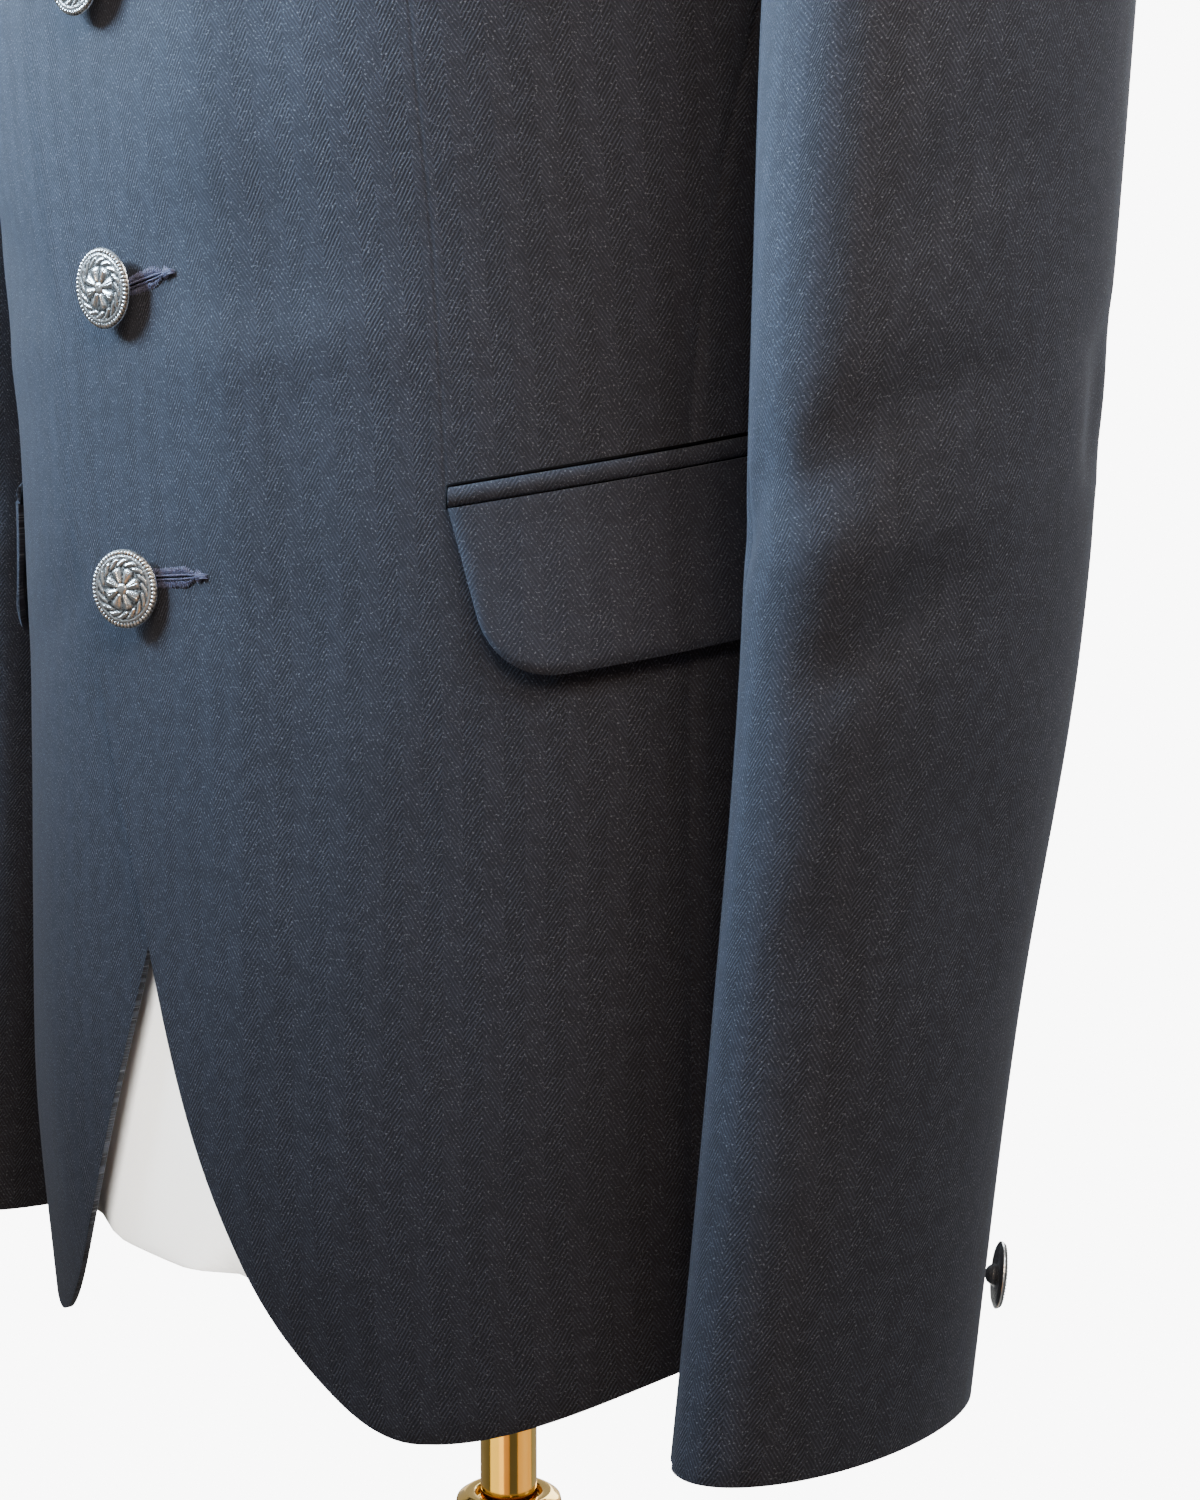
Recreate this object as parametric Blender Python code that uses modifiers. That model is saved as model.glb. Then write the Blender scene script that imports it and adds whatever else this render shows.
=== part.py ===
"""Bandhgala jacket worn by a limbless dress form on a brass stand.

Metres, +Z up. +X is the wearer's left, -Y is the front. The origin is the centre of the
stand's flat underside. The cloth panels are laid on one smooth body shape: each panel is a
patch between four seam lines, and its wall is made by Solidify.
"""

import math

import bmesh
import bpy
import numpy as np
from mathutils import Vector

# Cloth and seams
CLOTH = 0.002  # wall of every jacket panel
SEAM_GAP = 0.0003  # between two pieces that are sewn together
SLEEVE_SEAM_GAP = 0.0006  # the sleeves' seams twist, so their walls need a little more
LAY_GAP = 0.0005  # between a piece and the one that it lies on
OVERLAP_GAP = 0.0009  # between the two fronts where they overlap
OVERLAP_RAMP = (0.008, 0.040)  # past the overlap, the left front comes down between these
EDGE_CELL = 0.08  # share of a cell that is set apart along each seam

# The body inside the cloth: height, half width, front depth, back depth, squareness
BODY_SECTIONS = (
    (0.700, 0.164, 0.138, 0.127, 2.45),
    (0.740, 0.164, 0.143, 0.128, 2.45),
    (0.800, 0.164, 0.149, 0.129, 2.45),
    (0.880, 0.163, 0.149, 0.127, 2.45),
    (0.980, 0.160, 0.1505, 0.117, 2.45),
    (1.076, 0.162, 0.156, 0.107, 2.45),
    (1.135, 0.170, 0.162, 0.108, 2.45),
    (1.190, 0.183, 0.164, 0.112, 2.50),
    (1.245, 0.202, 0.158, 0.115, 2.55),
    (1.300, 0.217, 0.142, 0.114, 2.50),
    (1.340, 0.216, 0.119, 0.107, 2.30),
    (1.380, 0.188, 0.088, 0.088, 2.10),
    (1.420, 0.120, 0.058, 0.062, 2.00),
    (1.460, 0.060, 0.046, 0.042, 2.00),
    (1.560, 0.050, 0.045, 0.045, 2.00),
)
SHOULDER_INNER = (0.0, -0.004, 1.390)  # centre of the padded shoulder roll at the neck
SHOULDER_OUTER = (0.236, -0.016, 1.331)  # and past the sleeve head
SHOULDER_RADII = (0.058, 0.053)
SHOULDER_BLEND = 0.050
NECK_HALF_WIDTH = 0.052
NECK_HALF_DEPTH = 0.058
NECK_FOOT = (-0.018, 1.400)  # y and z of a point on the neck's axis
NECK_LEAN = -0.14  # metres forward for each metre up
NECK_DEPTH = -0.04  # the neck leans from this far below that point
NECK_BLEND = 0.016

# Chart of the body: upright below the armpits, fanned out from one point above them
FAN_HEIGHT = 1.20
FAN_SCALE = 0.20

# Jacket lines
SIDE_SEAM_CELLS = 11
ARMHOLE_CELLS = 7  # from the side seam up to the shoulder seam
SHOULDER_CELLS = 5
PANEL_CELLS = SIDE_SEAM_CELLS + ARMHOLE_CELLS + SHOULDER_CELLS
FRONT_CELLS = 10
CORNER_CELLS = 5
SIDE_CELLS = 5
BACK_CELLS = 8
FRONT_CURVE_CELLS = 6
OVERLAP = 0.034  # front edge past the centre line, on each side
FRONT_CURVE = (  # handles of the cutaway, x and z from the front edge down to the hem
    (-OVERLAP, 1.005),
    (-0.005, 0.866),
    (0.050, 0.722),
    (0.098, 0.727),
)
CORNER_SHARE = 0.62  # share of the cutaway counted as front edge, the rest as hem
HEM_SIDE_Z = 0.754
HEM_RISE = (math.radians(37), math.radians(75))  # turns between which the hem rises
FRONT_SEAM_HEM = math.radians(67)
BACK_SEAM_HEM = math.radians(113)
SEAM_STRAIGHT_TO = 1.02  # the side seams run straight up to this height
ARMHOLE_CENTRE = (-0.020, 1.296)  # y and z
ARMHOLE_FOOT_X = 0.1885  # the armhole's plane at FAN_HEIGHT
ARMHOLE_SLOPE = 0.168
ARMHOLE_FRONT_SEAM = math.radians(-48)  # turns round the armhole, 0 at the front, 90 at the top
ARMHOLE_BACK_SEAM = math.radians(-132)
NECKLINE_HALF_WIDTH = 0.064
NECKLINE_FRONT = (-0.092, 1.376)
NECKLINE_BACK = (0.047, 1.446)

# Collar band
COLLAR_HEIGHT = 0.040
COLLAR_WALL = 0.0028
COLLAR_CORNER = 0.014
COLLAR_HALF_GAP = math.radians(1.3)
COLLAR_LEAN_IN = 0.10
COLLAR_CELLS = 44
COLLAR_ROWS = (0.0, 0.08, 0.2, 0.4, 0.7, 1.0)  # shares of its height
COLLAR_SEAM = 0.0009  # chart height between the neckline and the collar's lower edge

# Buttons
BUTTON_RADIUS = 0.0122
BUTTON_LAST_Z = 0.984
BUTTON_PITCH = 0.092
BUTTON_TURNS = (4, -3, 2, 5, 19)  # degrees that each hangs turned to the wearer's left, top first
BUTTON_SHANK = 0.0040
BUTTON_X = 0.002
SHANK_RADIUS = 0.0022
CUFF_BUTTON_RADIUS = 0.0100
CUFF_BUTTON_SHANK = 0.0028

# Hip pocket
POCKET_FRONT_X = 0.1118
POCKET_Z = 1.015  # top of the upper jet at its front end
POCKET_RISE = 0.17  # metres up for each metre back
POCKET_LENGTH = 0.152
JET_HEIGHT = 0.0058
JET_WALL = 0.0014
FLAP_DEPTH = 0.053
FLAP_WALL = 0.0020
FLAP_SLANT = 0.008
FLAP_CORNER = 0.024
FLAP_STAND_OFF = 0.0026  # the flap's lower edge hangs off the panel by this much more

# Sleeve: share of length, inner x and z, outer x and z, centre y, half front-to-back
SLEEVE_SECTIONS = (
    (0.00, 0.1895, 1.203, 0.2215, 1.390, -0.020, 0.068),
    (0.06, 0.1920, 1.194, 0.2410, 1.383, -0.021, 0.070),
    (0.14, 0.1905, 1.183, 0.2570, 1.346, -0.023, 0.071),
    (0.24, 0.1870, 1.165, 0.2640, 1.280, -0.027, 0.070),
    (0.36, 0.1820, 1.130, 0.2630, 1.203, -0.030, 0.067),
    (0.50, 0.1795, 1.060, 0.2555, 1.095, -0.030, 0.0665),
    (0.66, 0.1755, 0.960, 0.2465, 0.972, -0.032, 0.064),
    (0.83, 0.1715, 0.858, 0.2380, 0.862, -0.043, 0.057),
    (1.00, 0.1690, 0.742, 0.2310, 0.742, -0.056, 0.0565),
)
SLEEVE_HEAD_SHARE = 0.12  # the sleeve takes the armhole's own shape up to here
FOREARM_SEAM = math.radians(-28)
HINDARM_SEAM = math.radians(168)
CUFF_SLANT = 0.003  # the cuff is this much lower in front than at its middle
CUFF_SLANT_TURN = math.radians(-20)
CUFF_BUTTON_TURN = math.radians(151)
CUFF_BUTTON_SHARE = 0.950  # of the sleeve's length

# Dress form and stand
FORM_BOTTOM_Z = 0.760
FORM_TOP_Z = 1.515
FORM_REST_GAP = 0.0043  # on the shoulders, where the jacket hangs
FORM_EASE = 0.008  # elsewhere
FORM_FLAT_AT_ARM = 0.008
FORM_ARM_BLEND = 0.030
FORM_SIDES = 36
FORM_EVEN_TO = 1.24  # chart height where the rows start to follow the neckline
NECK_EASE = 0.003
NECK_BEND = 0.010
NECK_FROM_Z = 1.485
FORM_PAST_NECKLINE = 0.006  # chart height by which the shoulders run in under the collar
PLATE_RADIUS = 0.055
PLATE_HEIGHT = 0.008
POLE_RADIUS = 0.01025
TUBE_RADIUS = 0.0135
TUBE_TOP_Z = 0.628
COLLAR_TOP_Z = 0.652
COLLAR_RADIUS = 0.0198
RECESS_RADIUS = 0.0121
COLLAR_DROP = 0.036
BASE_RADIUS = 0.175
BASE_EDGE = 0.010
BOSS_RADIUS = 0.024
BOSS_TOP_Z = 0.045
CAP_RADIUS = 0.044

COLOURS = {
    "suiting": ((0.028, 0.034, 0.050), 0.75, 0.0),
    "button_metal": ((0.55, 0.54, 0.50), 0.25, 1.0),
    "brass": ((0.83, 0.55, 0.18), 0.18, 1.0),
    "form_cover": ((0.88, 0.87, 0.84), 0.85, 0.0),
}


def clear_scene():
    """Removes whatever the start-up scene holds."""
    for thing in list(bpy.data.objects):
        bpy.data.objects.remove(thing, do_unlink=True)


def make_collection(name):
    collection = bpy.data.collections.new(name)
    bpy.context.scene.collection.children.link(collection)
    return collection


def make_material(name):
    colour, roughness, metallic = COLOURS[name]
    material = bpy.data.materials.new(name)
    material.use_nodes = True
    shader = material.node_tree.nodes["Principled BSDF"]
    shader.inputs["Base Color"].default_value = (*colour, 1.0)
    shader.inputs["Roughness"].default_value = roughness
    shader.inputs["Metallic"].default_value = metallic
    return material


# Curves through tables


def smooth_step(share):
    share = np.clip(share, 0.0, 1.0)
    return share * share * (3 - 2 * share)


def through(table, column, at):
    """A smooth curve through one column of a table, read at values of its first column."""
    rows = np.array(table, float)
    places, values = rows[:, 0], rows[:, column]
    slopes = np.gradient(values, places)
    at = np.clip(at, places[0], places[-1])
    low = np.clip(np.searchsorted(places, at, side="right") - 1, 0, len(places) - 2)
    span = places[low + 1] - places[low]
    t = (at - places[low]) / span
    return (
        values[low] * (2 * t**3 - 3 * t**2 + 1)
        + slopes[low] * span * (t**3 - 2 * t**2 + t)
        + values[low + 1] * (3 * t**2 - 2 * t**3)
        + slopes[low + 1] * span * (t**3 - t**2)
    )


# The body shape


def smooth_min(a, b, blend):
    share = np.clip(0.5 + 0.5 * (b - a) / blend, 0.0, 1.0)
    return b * (1 - share) + a * share - blend * share * (1 - share)


def torso_distance(points):
    """How far outside the torso's squared oval section each point is, measured from the axis."""
    x, y, z = np.abs(points[..., 0]), points[..., 1], points[..., 2]
    half_width = through(BODY_SECTIONS, 1, z)
    depth = np.where(y < 0, through(BODY_SECTIONS, 2, z), through(BODY_SECTIONS, 3, z))
    power = through(BODY_SECTIONS, 4, z)
    level = ((x / half_width) ** power + (np.abs(y) / depth) ** power) ** (1 / power)
    reach = np.hypot(x, y)
    return reach - reach / np.maximum(level, 1e-9)


def shoulder_distance(points):
    """Distance to the rounded roll that runs from the neck out past each shoulder point."""
    mirrored = points.copy()
    mirrored[..., 0] = np.abs(mirrored[..., 0])
    start, end = np.array(SHOULDER_INNER), np.array(SHOULDER_OUTER)
    along = end - start
    share = np.clip(((mirrored - start) @ along) / (along @ along), 0.0, 1.0)
    centre = start + share[..., None] * along
    radius = SHOULDER_RADII[0] + share * (SHOULDER_RADII[1] - SHOULDER_RADII[0])
    return np.linalg.norm(mirrored - centre, axis=-1) - radius


def neck_distance(points):
    x, z = points[..., 0], points[..., 2]
    y = points[..., 1] - NECK_FOOT[0] - NECK_LEAN * np.maximum(z - NECK_FOOT[1], NECK_DEPTH)
    level = np.hypot(x / NECK_HALF_WIDTH, y / NECK_HALF_DEPTH)
    reach = np.hypot(x, y)
    return reach - reach / np.maximum(level, 1e-9)


def body_distance(points):
    """Below zero inside the body, which is the inner face of the jacket's cloth."""
    trunk = smooth_min(torso_distance(points), shoulder_distance(points), SHOULDER_BLEND)
    return smooth_min(trunk, neck_distance(points), NECK_BLEND)


def normals_at(points):
    step = 0.0005
    slopes = []
    for axis in range(3):
        shift = np.zeros(3)
        shift[axis] = step
        slopes.append(body_distance(points + shift) - body_distance(points - shift))
    normals = np.stack(slopes, axis=-1)
    return normals / np.linalg.norm(normals, axis=-1, keepdims=True)


# The chart: turn from the front round the wearer's left side, and a height that fans out


def chart_rays(turn, height):
    """Where each chart point's ray starts, and its direction."""
    rise = np.maximum(height - FAN_HEIGHT, 0.0) / FAN_SCALE
    start = np.stack([turn * 0, turn * 0, np.minimum(height, FAN_HEIGHT)], axis=-1)
    direction = np.stack(
        [np.cos(rise) * np.sin(turn), -np.cos(rise) * np.cos(turn), np.sin(rise)], axis=-1
    )
    return start, direction


def chart_of(points):
    """The chart point whose ray passes through each point."""
    points = np.asarray(points, float)
    turn = np.arctan2(points[..., 0], -points[..., 1])
    over = points[..., 2] - FAN_HEIGHT
    rise = np.arctan2(over, np.hypot(points[..., 0], points[..., 1]))
    height = np.where(over > 0, FAN_HEIGHT + FAN_SCALE * rise, points[..., 2])
    return np.stack([turn, height], axis=-1)


def cast(start, direction, distance):
    """The point where each ray leaves the shape whose distance function is given."""
    near = np.zeros(start.shape[:-1])
    far = near + 0.5
    for _ in range(36):
        middle = (near + far) / 2
        inside = distance(start + middle[..., None] * direction) < 0
        near = np.where(inside, middle, near)
        far = np.where(inside, far, middle)
    return start + near[..., None] * direction


def on_body(chart):
    """Points and outward normals of the body at chart points."""
    start, direction = chart_rays(chart[..., 0], chart[..., 1])
    points = cast(start, direction, body_distance)
    return points, normals_at(points)


def chart_at_x(x, height):
    """Chart points on the front of the body with the given x, at the given chart heights."""
    x, height = np.broadcast_arrays(np.asarray(x, float), np.asarray(height, float))
    turn = x / 0.15
    for _ in range(12):
        points, _ = on_body(np.stack([turn, height], axis=-1))
        turn = turn + (x - points[..., 0]) / 0.15
    return np.stack([turn, height], axis=-1)


# Seam lines, each as chart points from one end to the other


def spread_evenly(line, cells):
    """The same line with evenly spaced points, cells + 1 of them."""
    points, _ = on_body(line)
    steps = np.linalg.norm(np.diff(points, axis=0), axis=1)
    along = np.concatenate([[0.0], np.cumsum(steps)])
    wanted = np.linspace(0.0, along[-1], cells + 1)
    return np.stack([np.interp(wanted, along, line[:, k]) for k in range(2)], axis=-1)


def joined(*runs):
    """One rail from several (line, cells) runs that meet end to end."""
    rails = [spread_evenly(line, cells) for line, cells in runs]
    return np.concatenate([rails[0]] + [rail[1:] for rail in rails[1:]])


def armhole_points(turns):
    """The armhole: where a leaning plane cuts the body. Turn 0 is its front, 90 degrees its top."""
    turns = np.asarray(turns, float)
    sleeve = SLEEVE_SECTIONS[0]
    half_depth, half_height = sleeve[6], (sleeve[4] - sleeve[2]) / 2
    way = np.stack([-half_depth * np.cos(turns), half_height * np.sin(turns)], axis=-1)
    way /= np.linalg.norm(way, axis=-1, keepdims=True)

    def at(reach):
        y = ARMHOLE_CENTRE[0] + reach * way[..., 0]
        z = ARMHOLE_CENTRE[1] + reach * way[..., 1]
        x = ARMHOLE_FOOT_X + ARMHOLE_SLOPE * (z - FAN_HEIGHT)
        return np.stack([x, y, z], axis=-1)

    near, far = np.zeros(turns.shape), np.full(turns.shape, 0.16)
    for _ in range(36):
        middle = (near + far) / 2
        inside = body_distance(at(middle)) < 0
        near, far = np.where(inside, middle, near), np.where(inside, far, middle)
    return at(near)


def armhole_line(start, end):
    return chart_of(armhole_points(np.linspace(start, end, 60)))


def side_seam(hem_turn, armhole_turn):
    """A side seam, from the hem up to its point on the armhole."""
    top = chart_of(armhole_points(np.array([armhole_turn])))[0]
    foot = hem_height(hem_turn)
    share = np.linspace(0.0, 1.0, 60)
    height = foot + share * (top[1] - foot)
    bend = smooth_step((height - SEAM_STRAIGHT_TO) / (top[1] - SEAM_STRAIGHT_TO))
    turn = hem_turn + (top[0] - hem_turn) * bend
    return np.stack([turn, height], axis=-1)


def hem_height(turn):
    """Height of the hem round the body, lowest at the rounded front."""
    low = FRONT_CURVE[-1][1]
    rise = smooth_step((turn - HEM_RISE[0]) / (HEM_RISE[1] - HEM_RISE[0]))
    return low + (HEM_SIDE_Z - low) * rise


def hem_line(start, end):
    turns = np.linspace(start, end, 60)
    return np.stack([turns, hem_height(turns)], axis=-1)


def neckline(start, end):
    """The collar's seam, between two turns."""
    turns = np.linspace(start, end, 60)
    middle = (NECKLINE_FRONT[0] + NECKLINE_BACK[0]) / 2
    half = (NECKLINE_BACK[0] - NECKLINE_FRONT[0]) / 2
    y = middle - half * np.cos(turns)
    share = (1 - np.cos(turns)) / 2
    z = NECKLINE_FRONT[1] + (NECKLINE_BACK[1] - NECKLINE_FRONT[1]) * share
    return chart_of(np.stack([NECKLINE_HALF_WIDTH * np.sin(turns), y, z], axis=-1))


def neck_side():
    """The neckline's chart point at the shoulder seam."""
    line = neckline(math.radians(60), math.radians(120))
    return np.array([math.pi / 2, np.interp(math.pi / 2, line[:, 0], line[:, 1])])


def shoulder_seam():
    """From the armhole's top to the neckline."""
    top = chart_of(armhole_points(np.array([math.pi / 2])))[0]
    return np.linspace([math.pi / 2, top[1]], neck_side(), 40)


def front_neckline():
    """The neckline from the front edge to the shoulder seam."""
    line = neckline(math.radians(-30), math.radians(110))
    points, _ = on_body(line)
    first = np.interp(-OVERLAP, points[:, 0], line[:, 0])
    turns = np.linspace(first, math.pi / 2, 40)
    return np.stack([turns, np.interp(turns, line[:, 0], line[:, 1])], axis=-1)


def back_neckline():
    """The neckline from the shoulder seam to the centre back."""
    line = neckline(math.radians(75), math.pi)
    turns = np.linspace(math.pi / 2, math.pi, 40)
    return np.stack([turns, np.interp(turns, line[:, 0], line[:, 1])], axis=-1)


def front_curve(start, end):
    """The cutaway between two shares of its curve, a cubic through its four handles."""
    share = np.linspace(start, end, 40)[:, None]
    a, b, c, d = (np.array(handle) for handle in FRONT_CURVE)
    rest = 1 - share
    line = rest**3 * a + 3 * rest**2 * share * b + 3 * rest * share**2 * c + share**3 * d
    return chart_at_x(line[:, 0], line[:, 1])


def front_edge(top_height):
    heights = np.linspace(FRONT_CURVE[0][1], top_height, 60)
    return chart_at_x(-OVERLAP, heights)


# Panels


def with_edge_cells(rail):
    """Adds a point just inside each end of a rail, so that a wall's seam faces stay square."""
    first = rail[0] + EDGE_CELL * (rail[1] - rail[0])
    last = rail[-1] + EDGE_CELL * (rail[-2] - rail[-1])
    return np.concatenate([rail[:1], [first], rail[1:-1], [last], rail[-1:]])


def patch(left, right, bottom, top):
    """Chart points between four rails, a Coons patch. Rows run up, columns run left to right."""
    v = np.linspace(0.0, 1.0, len(left))[:, None, None]
    u = with_edge_cells(np.linspace(0.0, 1.0, len(bottom)))[None, :, None]
    bottom, top = with_edge_cells(bottom), with_edge_cells(top)
    across = (1 - u) * left[:, None] + u * right[:, None]
    upward = (1 - v) * bottom[None] + v * top[None]
    corners = (
        (1 - u) * (1 - v) * bottom[0]
        + u * (1 - v) * bottom[-1]
        + (1 - u) * v * top[0]
        + u * v * top[-1]
    )
    return across + upward - corners


def pull_in(points, sides, gap=SEAM_GAP):
    """Draws the sewn edges of a grid in by half of the seam's gap."""
    points = points.copy()
    edges = {
        "left": (np.s_[:, 0], np.s_[:, 1]),
        "right": (np.s_[:, -1], np.s_[:, -2]),
        "bottom": (np.s_[0], np.s_[1]),
        "top": (np.s_[-1], np.s_[-2]),
    }
    for side in sides:
        edge, inner = edges[side]
        way = points[inner] - points[edge]
        points[edge] += way / np.linalg.norm(way, axis=-1, keepdims=True) * gap / 2
    return points


def add_object(name, mesh, material):
    thing = bpy.data.objects.new(name, mesh)
    PARTS.objects.link(thing)
    mesh.materials.append(MATERIALS[material])
    return thing


def grid_mesh(name, points, closed=False):
    """A sheet of quads through a grid of points, facing out when columns run to the left of rows."""
    rows, columns = points.shape[:2]
    spans = columns if closed else columns - 1
    faces = [
        (
            r * columns + c,
            r * columns + (c + 1) % columns,
            (r + 1) * columns + (c + 1) % columns,
            (r + 1) * columns + c,
        )
        for r in range(rows - 1)
        for c in range(spans)
    ]
    mesh = bpy.data.meshes.new(name)
    mesh.from_pydata(points.reshape(-1, 3).tolist(), [], faces)
    mesh.shade_smooth()
    return mesh


def add_cloth(name, points, wall=CLOTH, flip=False, material="suiting"):
    """A cloth wall under a grid of points on its outer face."""
    mesh = grid_mesh(name, points[:, ::-1] if flip else points)
    thing = add_object(name, mesh, material)
    solid = thing.modifiers.new("Wall", "SOLIDIFY")
    solid.thickness = wall
    solid.offset = -1.0
    solid.use_even_offset = True
    return thing


def overlap_lift(x):
    """How far the left front stands over the right one near the centre line."""
    start, end = OVERLAP_RAMP
    return (CLOTH + OVERLAP_GAP) * (1 - smooth_step((x - OVERLAP - start) / (end - start)))


def laid_out(chart, lift=None):
    """The outer face of cloth laid on the body at chart points."""
    points, normals = on_body(chart)
    height = np.full(points.shape[:-1], CLOTH)
    if lift is not None:
        height = height + lift(points[..., 0])
    return points + height[..., None] * normals


def front_chart():
    """The front panel's rails: front edge, side seam with armhole and shoulder, hem, neckline."""
    top = front_neckline()
    left = joined(
        (front_curve(CORNER_SHARE, 0.0), FRONT_CURVE_CELLS),
        (front_edge(top[0][1]), PANEL_CELLS - FRONT_CURVE_CELLS),
    )
    right = joined(
        (side_seam(FRONT_SEAM_HEM, ARMHOLE_FRONT_SEAM), SIDE_SEAM_CELLS),
        (armhole_line(ARMHOLE_FRONT_SEAM, math.pi / 2), ARMHOLE_CELLS),
        (shoulder_seam(), SHOULDER_CELLS),
    )
    corner = front_curve(CORNER_SHARE, 1.0)
    bottom = joined(
        (corner, CORNER_CELLS),
        (hem_line(corner[-1][0], FRONT_SEAM_HEM), FRONT_CELLS - CORNER_CELLS),
    )
    return patch(left, right, bottom, joined((top, FRONT_CELLS)))


def side_chart():
    left = joined((side_seam(FRONT_SEAM_HEM, ARMHOLE_FRONT_SEAM), SIDE_SEAM_CELLS))
    right = joined((side_seam(BACK_SEAM_HEM, ARMHOLE_BACK_SEAM), SIDE_SEAM_CELLS))
    bottom = joined((hem_line(FRONT_SEAM_HEM, BACK_SEAM_HEM), SIDE_CELLS))
    top = joined((armhole_line(ARMHOLE_FRONT_SEAM, ARMHOLE_BACK_SEAM), SIDE_CELLS))
    return patch(left, right, bottom, top)


def back_chart():
    neck = back_neckline()
    left = joined(
        (side_seam(BACK_SEAM_HEM, ARMHOLE_BACK_SEAM), SIDE_SEAM_CELLS),
        (armhole_line(ARMHOLE_BACK_SEAM, -1.5 * math.pi), ARMHOLE_CELLS),
        (shoulder_seam(), SHOULDER_CELLS),
    )
    right = joined((np.linspace([math.pi, HEM_SIDE_Z], neck[-1], 80), PANEL_CELLS))
    bottom = joined((hem_line(BACK_SEAM_HEM, math.pi), BACK_CELLS))
    top = joined((neck, BACK_CELLS))
    return patch(left, right, bottom, top)


def mirror_x(points):
    return points * np.array([-1.0, 1.0, 1.0])


def add_body_panels():
    front = front_chart()
    left_front = pull_in(laid_out(front, overlap_lift), ("right",))
    right_front = pull_in(laid_out(front), ("right",))
    add_cloth("front_left", left_front)
    add_cloth("front_right", mirror_x(right_front), flip=True)
    side = pull_in(laid_out(side_chart()), ("left", "right"))
    add_cloth("side_left", side)
    add_cloth("side_right", mirror_x(side), flip=True)
    back = pull_in(laid_out(back_chart()), ("left", "right"))
    add_cloth("back_left", back)
    add_cloth("back_right", mirror_x(back), flip=True)


# Sleeves


def sleeve_ring(share, turns):
    """Points round the sleeve: turn 0 is its front, 90 degrees its outer side."""
    share, turns = np.broadcast_arrays(np.asarray(share, float), np.asarray(turns, float))
    inner_x, inner_z, outer_x, outer_z, y, half = (
        through(SLEEVE_SECTIONS, column, share) for column in range(1, 7)
    )
    middle_x, middle_z = (inner_x + outer_x) / 2, (inner_z + outer_z) / 2
    return np.stack(
        [
            middle_x + (outer_x - inner_x) / 2 * np.sin(turns),
            y - half * np.cos(turns),
            middle_z + (outer_z - inner_z) / 2 * np.sin(turns),
        ],
        axis=-1,
    )


def sleeve_points(shares, turns):
    """The sleeve's outer face. Its head starts on the armhole and its cuff slants."""
    share, turn = np.meshgrid(shares, turns, indexing="ij")
    points = sleeve_ring(share, turn)
    edge = armhole_points(turns)
    edge = edge + CLOTH * normals_at(edge) + np.array([SEAM_GAP + 0.0002, 0.0, 0.0])
    head = edge - sleeve_ring(0.0, turns)
    hold = 1 - smooth_step(share / SLEEVE_HEAD_SHARE)
    points = points + hold[..., None] * head[None]
    slant = smooth_step((share - 0.80) / 0.20)
    points[..., 2] -= slant * CUFF_SLANT * np.cos(turn - CUFF_SLANT_TURN)
    return points


def add_sleeves():
    lengths = np.concatenate([np.linspace(0.0, 0.36, 9)[:-1], np.linspace(0.36, 1.0, 10)])
    over = sleeve_points(lengths, with_edge_cells(np.linspace(FOREARM_SEAM, HINDARM_SEAM, 12)))
    under_turns = np.linspace(HINDARM_SEAM, FOREARM_SEAM + 2 * math.pi, 9)
    under = sleeve_points(lengths, with_edge_cells(under_turns))
    for side, mirror in (("left", False), ("right", True)):
        for name, grid in (("sleeve_top", over), ("sleeve_under", under)):
            grid = pull_in(grid, ("left", "right"), SLEEVE_SEAM_GAP)
            placed = mirror_x(grid) if mirror else grid
            add_cloth(f"{name}_{side}", placed, flip=not mirror)


# Collar


def collar_points():
    """Outer face of the collar band, from the right end round the back to the left end."""
    turns = np.linspace(COLLAR_HALF_GAP, 2 * math.pi - COLLAR_HALF_GAP, COLLAR_CELLS + 1)
    line = neckline(0.0, math.pi)
    heights = np.interp(np.minimum(turns, 2 * math.pi - turns), line[:, 0], line[:, 1])
    start, normals = on_body(np.stack([turns, heights + COLLAR_SEAM], axis=-1))
    ahead, _ = on_body(np.stack([turns, heights + COLLAR_SEAM + 0.004], axis=-1))
    tangent = ahead - start
    tangent /= np.linalg.norm(tangent, axis=-1, keepdims=True)
    left_side = np.where(turns < math.pi, 1.0, 0.0)
    lift = COLLAR_WALL + left_side * overlap_lift(np.abs(start[:, 0]))
    point = start + lift[:, None] * normals
    inward = np.stack([-np.sin(turns), np.cos(turns), turns * 0], axis=-1)
    upward = np.array([0.0, NECK_LEAN, 1.0]) + COLLAR_LEAN_IN * inward
    upward /= np.linalg.norm(upward, axis=-1, keepdims=True)
    reach = np.linalg.norm(start - start[0], axis=-1)
    reach = np.minimum(reach, np.linalg.norm(start - start[-1], axis=-1))
    near_end = np.clip((COLLAR_CORNER - reach) / COLLAR_CORNER, 0.0, 1.0)
    height = COLLAR_HEIGHT - COLLAR_CORNER * (1 - np.sqrt(1 - near_end**2))
    rows = [point]
    for last, share in zip(COLLAR_ROWS, COLLAR_ROWS[1:]):
        turned = smooth_step((last + share) / 2 / 0.3)
        way = (1 - turned) * tangent + turned * upward
        way /= np.linalg.norm(way, axis=-1, keepdims=True)
        point = point + ((share - last) * height)[:, None] * way
        rows.append(point)
    return np.array(rows)


def add_collar():
    add_cloth("collar", collar_points(), wall=COLLAR_WALL)


# Pockets


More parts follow.
